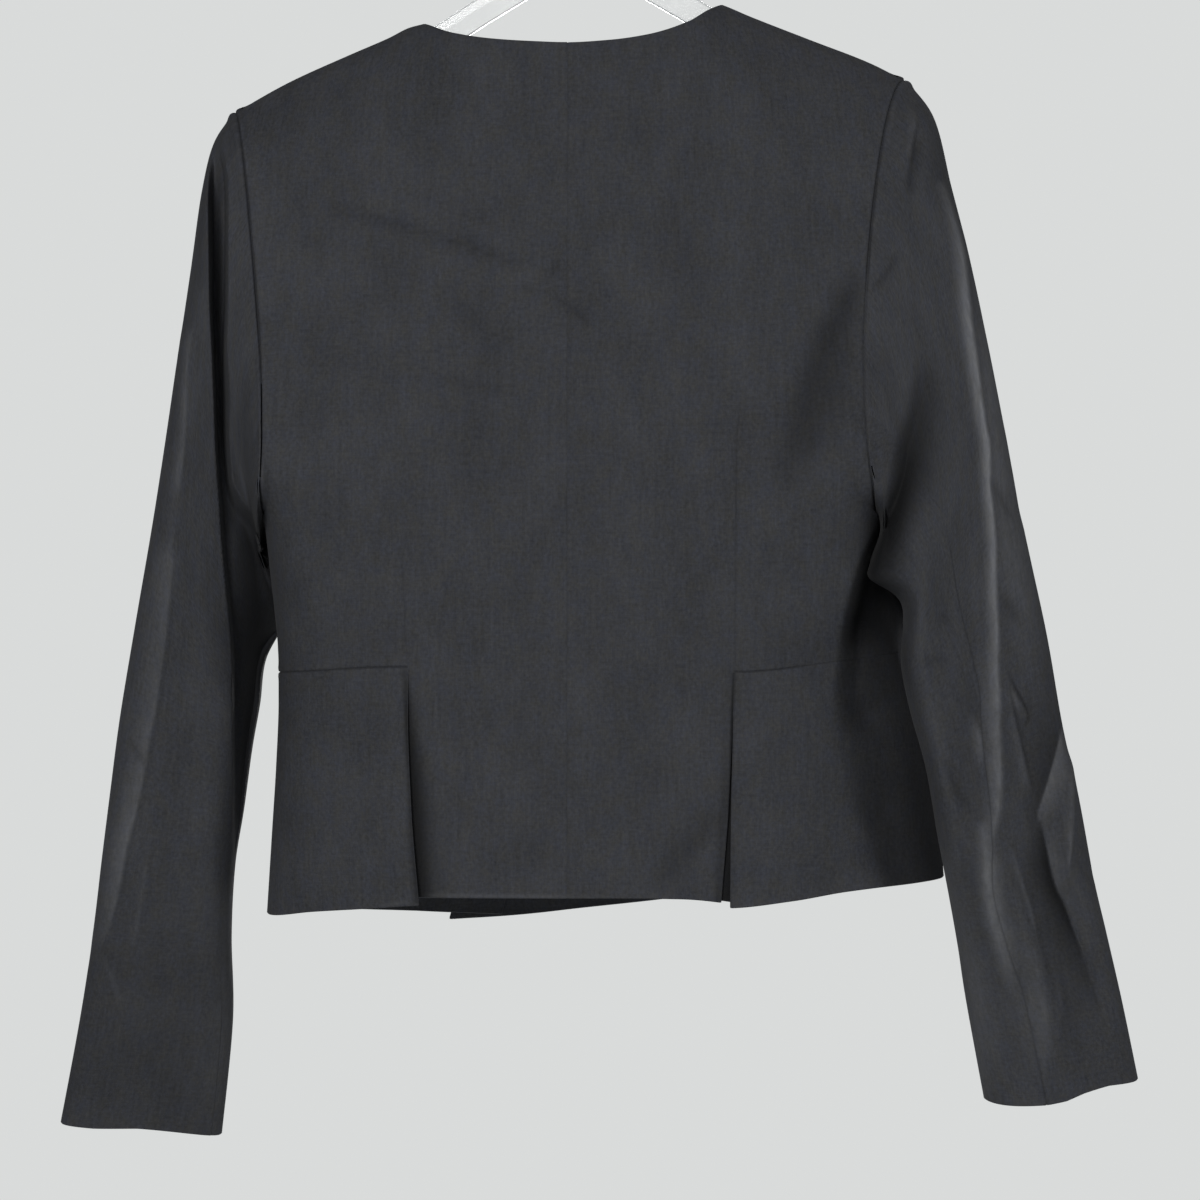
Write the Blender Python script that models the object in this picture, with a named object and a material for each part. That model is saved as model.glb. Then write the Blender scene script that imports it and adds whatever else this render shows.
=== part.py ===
"""Collarless suit jacket hanging on a flat clear hanger, seen from its back.

Frame: metres, +Z up, origin where the hook rests on a rail. The wearer would
face +Y, so the back of the jacket faces -Y and the wearer's right arm is at +X.
All sizes below are in millimetres and are turned into metres when meshed.
"""

import math

import bmesh
import bpy
import numpy as np

MM = 0.001

# ---------------------------------------------------------------- main sizes
CLOTH = 1.5            # wall of cloth, interlining and lining together
SEAM_GAP = 0.5         # clear space between two panels at a seam
UNDER_GAP = 0.8        # how much further the under sleeve is drawn back from its seams
CENTRE_X = -4.6        # centre-back seam
UNDERARM_Z = -418.0    # level of both underarm points
OVERLAP = 15.5         # each front reaches this far past the centre front
OVERLAP_LIFT = 2.6     # the right front lies this far outside the left one
FRONT_NECK_DROP = 95.0
HIND_SEAM, FORE_SEAM = 124.0, 250.0  # sleeve seams, degrees round the armhole
BUTTON_R, BUTTON_T = 10.0, 3.6
HANGER_T = 6.0
HANGER_ARM = 15.5
WIRE = 3.6

# Shoulder line over both shoulders, with the line carried across the neck.
ROOF = (  # x, z
    (-204.6, -175.2), (-171.6, -157.2), (-135.6, -141.0), (-111.6, -130.6),
    (-99.6, -124.6), (-91.2, -122.4), (-45.0, -104.0), (-4.6, -97.0),
    (45.0, -99.0), (87.6, -111.0), (104.4, -118.0), (140.4, -132.0),
    (176.4, -145.8), (197.4, -156.0),
)
NECK_L, NECK_R = -91.2, 87.6      # x of the two neck points on that line
TIP = {-1: (-204.6, -175.2), 1: (197.4, -156.0)}

NECK_BACK = (  # x, z of the back neck edge
    (-91.2, -122.4), (-74.8, -130.9), (-50.6, -136.4), (-26.8, -138.6),
    (-5.0, -139.6), (20.3, -138.0), (43.9, -134.1), (67.9, -124.9),
    (80.1, -115.8), (87.6, -111.0),
)

ARMHOLE = {  # side: underarm x, inward bow at the back, at the front, depths
    -1: dict(under=-186.0, bow_back=9.0, bow_front=18.0, back=52.0, front=50.0),
    1: dict(under=180.6, bow_back=19.0, bow_front=24.0, back=52.0, front=50.0),
}

BODY = (  # z, left side x, right side x, back depth, front depth
    (-97.0, -204.6, 197.4, 44.0, 42.0),
    (-160.0, -204.6, 197.4, 48.0, 46.0),
    (-230.0, -200.0, 195.0, 57.0, 59.0),
    (-320.0, -192.0, 188.0, 67.0, 70.0),
    (-418.0, -186.0, 180.6, 73.0, 76.0),
    (-445.0, -183.6, 182.8, 72.5, 75.0),
    (-474.0, -180.4, 192.6, 71.0, 73.0),
    (-504.0, -178.2, 197.0, 70.0, 72.0),
    (-530.0, -178.2, 202.4, 71.0, 73.0),
    (-566.0, -179.6, 211.0, 73.0, 76.0),
    (-605.0, -182.0, 217.8, 76.0, 79.0),
    (-660.0, -185.4, 222.6, 80.0, 84.0),
)
ROUND = 4.0            # fullness of the body's section
FULLER = 6.0           # how much fuller the back's section is beside the underarm
ARM_FULL = 8.0         # how square the armhole's lower back is
SLEEVE_FULL = {-1: 3.6, 1: 4.0}   # how flat a sleeve is pressed, beyond a round tube
SHOULDER_ROLL = 35.0   # how soon the shoulder turns down from its seam

CENTRE_FRONT = (  # z, x of the closing line
    (-212.0, -2.0), (-330.0, -8.0), (-430.0, -14.0), (-515.0, -25.0),
    (-590.0, -43.0), (-668.0, -64.0),
)

# Round the body: 0 centre back, 1 side, 2 centre front.
WAIST = {
    -1: ((0.0, -508.0), (0.53, -506.7), (1.0, -511.0), (1.5, -515.0), (2.0, -518.0)),
    1: ((0.0, -508.0), (0.5, -509.6), (0.8, -503.5), (1.0, -499.5), (1.5, -508.0), (2.0, -517.0)),
}
HEM = {
    -1: ((0.0, -639.6), (0.5, -642.9), (0.72, -646.4), (0.85, -649.2), (1.0, -654.6), (1.5, -659.0), (2.0, -662.0)),
    1: ((0.0, -639.6), (0.47, -645.0), (0.62, -641.4), (0.75, -636.6), (0.88, -634.0), (1.0, -632.8), (1.4, -646.0), (1.75, -658.0), (2.0, -667.0)),
}
VENT = {  # side: z share from waist to hem, x of peplum edge, of centre edge, lift
    -1: ((0.0, -97.2, -97.2, 0.0), (0.2, -97.4, -96.4, 2.8), (0.6, -93.6, -97.0, 4.4), (1.0, -88.6, -97.6, 5.6)),
    1: ((0.0, 92.4, 92.4, 0.0), (0.2, 92.6, 91.4, 0.6), (0.6, 91.4, 88.6, 1.4), (1.0, 89.9, 83.9, 2.2)),
}
UNDERLAY = dict(inside=13.0, outside=13.0, inset=2.6, top=7.0, short=1.2)

SLEEVE = {  # outer x, z   inner x, z   centre y   back, front half depth   tilt   lean of the inner edge
    -1: (
        (-204.6, -175.2, -186.0, -418.0, 0.0, 52.0, 50.0, 0.0, 0.0),
        (-217.2, -193.8, -187.8, -429.0, 0.0, 53.0, 51.0, 0.0, 5.0),
        (-223.8, -222.0, -188.4, -441.0, 0.0, 53.0, 52.0, 0.0, 20.0),
        (-229.8, -270.0, -184.4, -457.0, 0.0, 52.0, 52.0, 0.0, 38.0),
        (-239.7, -339.1, -178.4, -478.0, -2.0, 50.0, 50.0, 0.0, 46.0),
        (-250.7, -414.1, -189.2, -504.5, -5.0, 47.0, 47.0, 0.0, 34.0),
        (-261.7, -480.0, -191.0, -530.7, -8.0, 44.0, 44.0, 0.0, 20.0),
        (-271.4, -536.8, -194.8, -557.7, -7.0, 41.0, 41.0, 0.0, 10.0),
        (-278.0, -581.8, -199.5, -593.8, -3.0, 38.0, 38.0, 0.0, 4.0),
        (-284.2, -624.2, -204.9, -627.2, 3.0, 34.0, 34.0, 0.0, 0.0),
        (-290.1, -664.0, -207.8, -670.0, 10.0, 29.0, 29.0, 0.0, 0.0),
        (-299.5, -719.0, -207.6, -722.0, 16.0, 23.0, 23.0, 0.0, 0.0),
        (-312.2, -783.7, -214.7, -791.0, 20.0, 17.0, 17.0, -2.0, 0.0),
    ),
    1: (
        (197.4, -156.0, 180.6, -418.0, 0.0, 52.0, 50.0, 0.0, 0.0),
        (214.8, -178.8, 183.2, -426.0, 0.0, 53.0, 51.0, 0.0, -5.0),
        (225.6, -222.0, 183.0, -437.0, 0.0, 53.0, 50.0, 0.0, -26.0),
        (236.2, -273.2, 184.0, -452.0, -2.0, 52.0, 46.0, 0.0, -42.0),
        (249.4, -343.6, 188.6, -474.0, -7.0, 50.0, 42.0, 0.0, -46.0),
        (263.0, -414.4, 189.8, -503.8, -13.0, 47.0, 38.0, 0.0, -46.0),
        (278.4, -485.8, 194.2, -530.4, -18.0, 44.0, 34.0, 0.0, -44.0),
        (288.2, -542.2, 203.7, -566.0, -20.0, 41.0, 31.0, 0.0, -44.0),
        (298.6, -586.9, 211.0, -604.8, -18.0, 38.0, 31.0, 0.0, -40.0),
        (308.1, -632.2, 220.0, -641.1, -10.0, 35.0, 32.0, 0.0, -24.0),
        (317.2, -665.9, 228.2, -674.9, -1.0, 32.0, 32.0, 0.0, -8.0),
        (328.3, -709.0, 234.9, -709.0, 8.0, 29.0, 29.0, 2.0, 0.0),
        (339.0, -756.3, 246.5, -769.0, 15.0, 27.0, 27.0, 5.0, 0.0),
    ),
}
HIND_LINE = {  # section, degrees of the hind seam there: the cloth twists as it hangs
    -1: ((0.0, 124.0), (1.0, 124.0), (3.0, 128.0), (6.0, 142.0), (9.0, 150.0), (12.0, 154.0)),
    1: ((0.0, 124.0), (2.0, 116.0), (4.0, 103.0), (5.0, 98.4), (6.0, 96.6), (7.0, 104.8), (8.0, 109.2),
        (9.0, 118.6), (10.0, 114.6), (11.0, 107.0), (12.0, 105.0)),
}

# Largest lengthwise folds of the sleeves: a soft trough down the back face.
TROUGH = {  # z, x of its line, depth, half width
    -1: ((-190.0, -215.0, 0.0, 12.0), (-240.0, -213.6, 11.0, 12.0), (-320.0, -212.6, 14.0, 12.0),
         (-420.0, -209.6, 13.0, 13.0), (-500.0, -205.6, 10.0, 14.0), (-580.0, -202.0, 4.0, 14.0), (-620.0, -201.0, 0.0, 14.0)),
    1: ((-300.0, 212.0, 0.0, 12.0), (-350.0, 206.0, 8.0, 13.0), (-400.0, 196.0, 10.0, 13.0),
        (-440.0, 187.0, 6.0, 13.0), (-460.0, 183.0, 0.0, 13.0)),
}

HANGER_TOP = (  # x, z of the upper edge, left tip to right tip
    (-190.0, -174.0), (-147.6, -152.4), (-111.6, -136.2), (-91.2, -128.6),
    (-62.4, -109.6), (-24.0, -84.4), (-9.0, -73.6), (4.0, -71.2), (17.0, -72.2), (32.0, -81.4),
    (70.0, -106.0), (87.6, -117.0), (104.4, -124.2), (140.4, -138.4), (183.0, -157.0),
)
HOOK = dict(foot=(4.0, -70.4), neck=(2.6, -50.0), r=19.8, end=205.0)

# grid density
PHI_BACK = (0, 14, 30, 46, 62, 78, 95, 110, 124, 138, 152, 166, 180)
PHI_FRONT = (180, 194, 208, 222, 236, 250, 264, 280, 296, 312, 328, 345, 360)
NECK_COLS, SHOULDER_COLS = 5, 6
SIDE_ROWS, SKIRT_ROWS, SLEEVE_ROWS = 3, 5, 22


# ------------------------------------------------------------- interpolation
def smooth(rows, x, col=1):
    """Monotone cubic through a table's first column and column col."""
    t = np.array([[r[0], r[col]] for r in rows], float)
    t = t[np.argsort(t[:, 0])]
    xs, ys = t[:, 0], t[:, 1]
    h, d = np.diff(xs), np.diff(ys) / np.diff(xs)
    m = np.empty_like(ys)
    m[0], m[-1] = d[0], d[-1]
    for i in range(1, len(xs) - 1):
        if d[i - 1] * d[i] <= 0:
            m[i] = 0.0
        else:
            a, b = 2 * h[i] + h[i - 1], h[i] + 2 * h[i - 1]
            m[i] = (a + b) / (a / d[i - 1] + b / d[i])
    x = np.clip(np.asarray(x, float), xs[0], xs[-1])
    k = np.clip(np.searchsorted(xs, x) - 1, 0, len(h) - 1)
    s = (x - xs[k]) / h[k]
    return ((1 + 2 * s) * (1 - s) ** 2 * ys[k] + s * (1 - s) ** 2 * h[k] * m[k]
            + s * s * (3 - 2 * s) * ys[k + 1] + s * s * (s - 1) * h[k] * m[k + 1])


def spline(rows, k, col):
    """Catmull-Rom through column col of evenly numbered rows, at row number k."""
    y = np.array([r[col] for r in rows], float)
    k = np.asarray(k, float)
    i = np.clip(k.astype(int), 0, len(y) - 2)
    s = k - i
    p0, p1, p2, p3 = (y[np.clip(i + o, 0, len(y) - 1)] for o in (-1, 0, 1, 2))
    return 0.5 * (2 * p1 + (p2 - p0) * s + (2 * p0 - 5 * p1 + 4 * p2 - p3) * s ** 2
                  + (3 * p1 - p0 - 3 * p2 + p3) * s ** 3)


def ease(a, b, x):
    s = np.clip((np.asarray(x, float) - a) / (b - a), 0, 1)
    return s * s * (3 - 2 * s)


# ---------------------------------------------------------------- the body
def roof(x):
    return smooth(ROOF, x)


def armhole_cos(side, z):
    tip_z = TIP[side][1]
    return np.clip((2 * z - tip_z - UNDERARM_Z) / (tip_z - UNDERARM_Z), -1, 1)


def armhole_deep(c, face):
    """Share of an armhole's half depth, from the cosine of the angle round it."""
    full = np.where((c < 0) & (face < 0), 2.0 + ARM_FULL * ease(0.0, 0.6, -c), 2.0)
    out = 1 + 0.28 * ease(0.1, 0.7, -c) + 0.3 * ease(0.6, 0.95, -c)
    return np.sqrt(np.maximum(1 - np.abs(c) ** full, 0)) * np.where(face < 0, out, 1.0)


def edge_x(side, z, face):
    """x of the armhole seam at a level, or of the side seam below the underarm."""
    a, tip_x = ARMHOLE[side], TIP[side][0]
    c = armhole_cos(side, z)
    bow = a["bow_back"] if face < 0 else a["bow_front"]
    arm = (tip_x + a["under"]) / 2 + (tip_x - a["under"]) / 2 * c - side * bow * np.sqrt(1 - c * c)
    return np.where(z >= UNDERARM_Z, arm, smooth(BODY, z, 1 if side < 0 else 2))


def body_y(x, z, face):
    """Depth of the back (face -1) or front (face 1) at a place seen from behind."""
    x, z = np.broadcast_arrays(np.asarray(x, float), np.asarray(z, float))
    out = np.zeros(x.shape)
    for side in (-1, 1):
        u = np.clip((x - CENTRE_X) / (edge_x(side, z, face) - CENTRE_X), 0, 1)
        hang = np.maximum(roof(x) - z, 0)
        full = smooth(BODY, z, 3 if face < 0 else 4) * (1 - np.exp(-hang / SHOULDER_ROLL)) ** 0.7
        a = ARMHOLE[side]
        c = armhole_cos(side, z)
        rim = np.where(z >= UNDERARM_Z, (a["back"] if face < 0 else a["front"]) * armhole_deep(c, face), 0)
        w = u ** (ROUND + (FULLER * np.exp(-((z - UNDERARM_Z + 14.0) / 48.0) ** 2) if face < 0 else 0))
        y = np.sqrt(np.maximum(rim ** 2 * w + full ** 2 * (1 - w), 0))
        out = np.where((x - CENTRE_X) * side >= 0, y, out)
    return face * out


def neck_front(x):
    half = (NECK_R - NECK_L) / 2
    r = np.clip(np.abs(x - (NECK_L + NECK_R) / 2) / half, 0, 1)
    level = smooth(ROOF, NECK_L) + (smooth(ROOF, NECK_R) - smooth(ROOF, NECK_L)) * (x - NECK_L) / (2 * half)
    return level - FRONT_NECK_DROP * (1 - r ** 2.2)


def front_edge(side, z):
    return smooth(CENTRE_FRONT, z) - side * OVERLAP


def lift_front(side, x, z):
    """The right front lies over the left one where they overlap."""
    if side < 0:
        return 0.0 * x
    return OVERLAP_LIFT * (1 - ease(OVERLAP + 4.0, OVERLAP + 34.0, x - smooth(CENTRE_FRONT, z)))


def columns(side):
    """Column positions of a back half along the shoulder and along the waist."""
    neck = (NECK_L if side < 0 else NECK_R)
    at_neck = (neck - CENTRE_X) / (TIP[side][0] - CENTRE_X)
    waist_z = -508.0
    at_vent = (VENT[side][0][1] - CENTRE_X) / (edge_x(side, waist_z, -1) - CENTRE_X)
    inner, outer = np.linspace(0, 1, NECK_COLS + 1), np.linspace(0, 1, SHOULDER_COLS + 1)[1:]
    top = np.concatenate([inner * at_neck, at_neck + (1 - at_neck) * outer])
    low = np.concatenate([inner * at_vent, at_vent + (1 - at_vent) * outer])
    return top, low


def panel_rows(phis):
    """Share of the way from shoulder to underarm of each row, as the armhole has it."""
    return (1 - np.cos(np.radians(np.asarray(phis, float)))) / 2


def back_half(side):
    """Grid [row, column] of the back above the waist, and of its skirt below."""
    top, low = columns(side)
    share = panel_rows(PHI_BACK)
    n = len(share) + SIDE_ROWS
    grid = np.zeros((n + SKIRT_ROWS, len(top), 3))
    x_top = CENTRE_X + top * (TIP[side][0] - CENTRE_X)
    z_top = np.where(np.arange(len(top)) < NECK_COLS, smooth(NECK_BACK, x_top), roof(x_top))
    waist_x = CENTRE_X + low * (edge_x(side, -508.0, -1) - CENTRE_X)
    waist_z = smooth(WAIST[side], low)
    for i in range(n):
        if i < len(share):
            z = z_top + share[i] * (UNDERARM_Z - z_top)
        else:
            z = UNDERARM_Z + (waist_z - UNDERARM_Z) * (i - len(share) + 1) / SIDE_ROWS
        f = ease(0, 1, (i / (n - 1)))
        u = top + (low - top) * f
        x = CENTRE_X + u * (edge_x(side, z, -1) - CENTRE_X)
        y = body_y(x, z, -1)
        if i < len(share):   # the armhole edge itself
            y[-1] = -ARMHOLE[side]["back"] * armhole_deep(math.cos(math.radians(PHI_BACK[i])), -1)
        grid[i] = np.stack([x, y, z], -1)
    for r in range(1, SKIRT_ROWS + 1):
        s = r / SKIRT_ROWS
        share_x = np.linspace(0, 1, NECK_COLS + 1)
        x = CENTRE_X + share_x * (smooth(VENT[side], s, 2) - CENTRE_X)
        u = (x - CENTRE_X) / (edge_x(side, -600.0, -1) - CENTRE_X)
        z = smooth(WAIST[side], u) + (smooth(HEM[side], u) - smooth(WAIST[side], u)) * s
        grid[n - 1 + r, :NECK_COLS + 1] = np.stack([x, body_y(x, z, -1), z], -1)
    keep = np.ones((n + SKIRT_ROWS - 1, len(top) - 1), bool)
    keep[n - 1:, NECK_COLS:] = False
    return grid, keep


def front_columns(side):
    top, low = columns(side)
    x_top = CENTRE_X + top[NECK_COLS:] * (TIP[side][0] - CENTRE_X)
    edge0 = front_edge(side, -150.0)
    inner = np.linspace(0, 1, NECK_COLS + 2)
    at_neck = (x_top[0] - edge0) / (TIP[side][0] - edge0)
    up = np.concatenate([inner * at_neck, (x_top[1:] - edge0) / (TIP[side][0] - edge0)])
    down = np.linspace(0, 1, len(up))
    return up, down


def front_half(side):
    """Grid [row, column] of a front above the waist, from its edge to the side."""
    up, down = front_columns(side)
    k = NECK_COLS + 1
    share = panel_rows(PHI_BACK)
    n = len(share) + SIDE_ROWS
    phis = [360 - p for p in reversed(PHI_FRONT)]
    share = panel_rows(phis)
    x_top = front_edge(side, -150.0) + up * (TIP[side][0] - front_edge(side, -150.0))
    z_top = np.where(np.arange(len(up)) < k, neck_front(x_top), roof(x_top))
    grid = np.zeros((n, len(up), 3))
    for i in range(n):
        if i < len(share):
            z = z_top + share[i] * (UNDERARM_Z - z_top)
        else:
            z_low = waist_front(side, down)
            z = UNDERARM_Z + (z_low - UNDERARM_Z) * (i - len(share) + 1) / SIDE_ROWS
        f = ease(0, 1, i / (n - 1))
        u = up + (down - up) * f
        x = front_edge(side, z) + u * (edge_x(side, z, 1) - front_edge(side, z))
        y = body_y(x, z, 1) + lift_front(side, x, z)
        if i < len(share):
            y[-1] = ARMHOLE[side]["front"] * math.sin(math.radians(phis[i]))
        grid[i] = np.stack([x, y, z], -1)
    return grid, np.ones((n - 1, len(up) - 1), bool)


def waist_front(side, down):
    return smooth(WAIST[side], 2 - down)


def peplum(side):
    """Grid [row, column] from the back vent round the side to the front edge."""
    _, low = columns(side)
    low = low[NECK_COLS:]
    _, down = front_columns(side)
    rows = []
    for r in range(SKIRT_ROWS + 1):
        s = r / SKIRT_ROWS
        vent_x, lift = smooth(VENT[side], s, 1), smooth(VENT[side], s, 3)
        share = (low - low[0]) / (1 - low[0])
        w = low[0] + share * (1 - low[0])
        z = smooth(WAIST[side], w) + (smooth(HEM[side], w) - smooth(WAIST[side], w)) * s
        x = vent_x + share * (edge_x(side, z, -1) - vent_x)
        if r == 0:
            x = CENTRE_X + low * (edge_x(side, z, -1) - CENTRE_X)
        y = body_y(x, z, -1) - lift * (1 - ease(0, 0.75, share))
        y[-1] = 0.0
        back = np.stack([x, y, z], -1)
        w = 2 - down
        z = smooth(WAIST[side], w) + (smooth(HEM[side], w) - smooth(WAIST[side], w)) * s
        x = front_edge(side, z) + down * (edge_x(side, z, 1) - front_edge(side, z))
        y = body_y(x, z, 1) + lift_front(side, x, z)
        y[-1] = 0.0
        front = np.stack([x, y, z], -1)
        rows.append(np.concatenate([back, front[::-1][1:]]))
    grid = np.array(rows)
    return grid, np.ones((grid.shape[0] - 1, grid.shape[1] - 1), bool)


def underlay(side):
    """Strip behind the open vent, from its points moved in."""
    u, rows = UNDERLAY, []
    for r in range(SKIRT_ROWS + 1):
        s = r / SKIRT_ROWS
        x = smooth(VENT[side], s, 2) + side * np.linspace(-u["inside"], u["outside"], 4)
        w = np.abs(x - CENTRE_X) / np.abs(edge_x(side, -580.0, -1) - CENTRE_X)
        top, low = smooth(WAIST[side], w) - u["top"], smooth(HEM[side], w) + u["short"]
        z = top + (low - top) * s
        rows.append(np.stack([x, body_y(x, z, -1) + u["inset"], z], -1))
    grid = np.array(rows)
    return grid, np.ones((grid.shape[0] - 1, grid.shape[1] - 1), bool)


# -------------------------------------------------------------- the sleeves
def sleeve_point(side, k, phi):
    """Point on a sleeve at section k (0 the armhole) and angle phi, 0 at the top."""
    col = lambda c: spline(SLEEVE[side], k, c)
    at = np.degrees(phi)
    near = np.where(at <= HIND_SEAM, at / HIND_SEAM, np.clip((FORE_SEAM - at) / (FORE_SEAM - HIND_SEAM), 0, 1))
    phi = phi + np.radians(smooth(HIND_LINE[side], k) - HIND_SEAM) * near
    c, s = np.cos(phi), np.sin(phi)
    a = ARMHOLE[side]
    bow = np.where(s >= 0, a["bow_back"] * (1 - ease(0, 4.0, k)), a["bow_front"] * (1 - ease(0, 2.2, k)))
    x = (col(0) + col(2)) / 2 + (col(0) - col(2)) / 2 * c - side * bow * np.abs(s)
    z = (col(1) + col(3)) / 2 + (col(1) - col(3)) / 2 * c - col(7) * s * np.clip(1 - 1.8 * c, 0, 1)
    full = 2.0 + np.where(s >= 0, SLEEVE_FULL[side], 1.0)
    flat, start = np.sqrt(np.maximum(1 - np.abs(c) ** full, 0)), armhole_deep(c, np.where(s >= 0, -1, 1))
    deep = np.sign(s) * (start + (flat - start) * ease(0.0, 3.0, k))
    y = col(4) - np.where(s >= 0, col(5), col(6)) * deep + col(8) * ((1 - c) / 2) ** 2
    t = TROUGH[side]
    d = (x - smooth(t, z)) / smooth(t, z, 3)
    y = y + np.where(s > 0, smooth(t, z, 2) * np.exp(-d * d) * ease(0.0, 1.2, k) * ease(0, 0.4, s), 0)
    return np.stack([x, y, z], -1)


def sleeve_piece(side, phis):
    last = len(SLEEVE[side]) - 1
    k = np.concatenate([np.linspace(0, 4, 10)[:-1], np.linspace(4, last, SLEEVE_ROWS - 8)])
    grid = np.array([sleeve_point(side, np.full(len(phis), q), np.radians(np.asarray(phis, float))) for q in k])
    return grid, np.ones((grid.shape[0] - 1, grid.shape[1] - 1), bool)


# ------------------------------------------------------------- walls of cloth
def own_normals(grid, keep, outward):
    n = np.zeros_like(grid)
    p = grid
    face = np.cross(p[1:, 1:] - p[:-1, :-1], p[1:, :-1] - p[:-1, 1:]) * keep[..., None]
    for di in (0, 1):
        for dj in (0, 1):
            n[di:n.shape[0] - 1 + di, dj:n.shape[1] - 1 + dj] += face
    ref = (n * outward).sum(-1)
    return n if ref.sum() > 0 else -n


def key(p):
    return tuple(np.round(p, 3))


def seam_data(sheets):
    """Shared normals: panels that meet at a seam lean the same way there."""
    total, users = {}, {}
    for name, s in sheets.items():
        used = np.zeros(s["grid"].shape[:2], bool)
        for di in (0, 1):
            for dj in (0, 1):
                used[di:used.shape[0] - 1 + di, dj:used.shape[1] - 1 + dj] |= s["keep"]
        s["used"] = used
        for i, j in zip(*np.nonzero(used)):
            q = key(s["grid"][i, j])
            length = np.linalg.norm(s["own"][i, j])
            total[q] = total.get(q, 0) + s["own"][i, j] / max(length, 1e-9)
            users.setdefault(q, set()).add(name)
    return total, users


def wall(sheets, name, total, users):
    """Outer and inner points of a panel, drawn back from the seams it shares."""
    s = sheets[name]
    g = s["grid"]
    rows, cols = g.shape[:2]
    outer, inner = g.copy(), g.copy()
    gap = SEAM_GAP / 2 + (UNDER_GAP if name.startswith("sleeve_under") else 0.0)
    for i, j in zip(*np.nonzero(s["used"])):
        q = key(g[i, j])
        n = total[q] / max(np.linalg.norm(total[q]), 1e-9)
        own = s["own"][i, j] / max(np.linalg.norm(s["own"][i, j]), 1e-9)
        shift = np.zeros(3)
        if len(users[q]) > 1:
            for di, dj in ((1, 0), (-1, 0), (0, 1), (0, -1)):
                a, b = (i - di, j - dj), (i + di, j + dj)
                outside = not (0 <= a[0] < rows and 0 <= a[1] < cols) or not s["used"][a]
                within = 0 <= b[0] < rows and 0 <= b[1] < cols and s["used"][b]
                if not (outside and within):
                    continue
                along = [(i + dj, j + di), (i - dj, j - di)]
                along = [g[c] for c in along if 0 <= c[0] < rows and 0 <= c[1] < cols and s["used"][c]
                         and len(users[key(g[c])]) > 1]
                if not along:
                    continue
                ends = along if len(along) == 2 else [along[0], g[i, j]]
                t = (ends[0] - ends[1]) / max(np.linalg.norm(ends[0] - ends[1]), 1e-9)
                m = np.cross(t, n)
                m /= max(np.linalg.norm(m), 1e-9)
                w = (g[b] - g[i, j]) / max(np.linalg.norm(g[b] - g[i, j]), 1e-9)
                lean = m @ w if abs(m @ w) > 0.06 else -(m @ own)
                shift += m * gap * (1 if lean > 0 else -1)
        outer[i, j] = g[i, j] + shift
        inner[i, j] = g[i, j] + shift - n * CLOTH
    return outer, inner


def mesh_panel(name, outer, inner, keep, mat, parent):
    """Grid primitive laid on the panel, then extruded to the inner face."""
    rows, cols = outer.shape[:2]
    bm = bmesh.new()
    bmesh.ops.create_grid(bm, x_segments=cols - 1, y_segments=rows - 1, size=1.0)
    place = bm.verts.layers.int.new("place")
    for v in bm.verts:
        j = round((v.co.x + 1) / 2 * (cols - 1))
        i = round((v.co.y + 1) / 2 * (rows - 1))
        v[place] = i * cols + j
    drop = []
    for f in bm.faces:
        ids = [v[place] for v in f.verts]
        i, j = min(k // cols for k in ids), min(k % cols for k in ids)
        if not keep[i, j]:
            drop.append(f)
    bmesh.ops.delete(bm, geom=drop, context="FACES")
    made = bmesh.ops.extrude_face_region(bm, geom=bm.faces[:], use_keep_orig=True)
    moved = {v for v in made["geom"] if isinstance(v, bmesh.types.BMVert)}
    flat_out, flat_in = outer.reshape(-1, 3) * MM, inner.reshape(-1, 3) * MM
    for v in bm.verts:
        v.co = (flat_in if v in moved else flat_out)[v[place]]
    bmesh.ops.recalc_face_normals(bm, faces=bm.faces[:])
    mesh = bpy.data.meshes.new(name)
    bm.to_mesh(mesh)
    bm.free()
    return add(name, mesh, mat, parent)


# ------------------------------------------------------------------- objects
def add(name, data, mat, parent):
    obj = bpy.data.objects.new(name, data)
    PARTS.objects.link(obj)
    obj.parent = parent
    data.materials.append(mat)
    if isinstance(data, bpy.types.Mesh):
        data.shade_smooth()
        data.set_sharp_from_angle(angle=math.radians(40))
    return obj


def material(name, colour, rough, metal=0.0, alpha=1.0):
    mat = bpy.data.materials.new(name)
    mat.use_nodes = True
    b = mat.node_tree.nodes["Principled BSDF"]
    b.inputs["Base Color"].default_value = (*colour, 1.0)
    b.inputs["Roughness"].default_value = rough
    b.inputs["Metallic"].default_value = metal
    b.inputs["Alpha"].default_value = alpha
    return mat


def button(name, x, z, mat, parent):
    """Plain four-hole sized disc button lying on the right front."""
    y = float(body_y(x, z, 1) + lift_front(1, np.array(x), z))
    e = 4.0
    dx = float(body_y(x + e, z, 1) - body_y(x - e, z, 1)) / (2 * e)
    dz = float(body_y(x, z + e, 1) - body_y(x, z - e, 1)) / (2 * e)
    n = np.array([-dx, 1.0, -dz])
    n /= np.linalg.norm(n)
    bm = bmesh.new()
    bmesh.ops.create_cone(bm, cap_ends=True, segments=24, radius1=BUTTON_R * MM,
                          radius2=(BUTTON_R - 0.9) * MM, depth=BUTTON_T * MM)
    mesh = bpy.data.meshes.new(name)
    bm.to_mesh(mesh)
    bm.free()
    obj = add(name, mesh, mat, parent)
    clear = BUTTON_T / 2 + 0.75
    obj.location = [(c + k * clear) * MM for c, k in zip((x, y, z), n)]
    obj.rotation_euler = (math.atan2(-n[1], n[2]), 0.0, 0.0)
    obj.rotation_mode = "QUATERNION"
    from mathutils import Vector
    obj.rotation_quaternion = Vector((0, 0, 1)).rotation_difference(Vector(n))
    return obj


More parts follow.
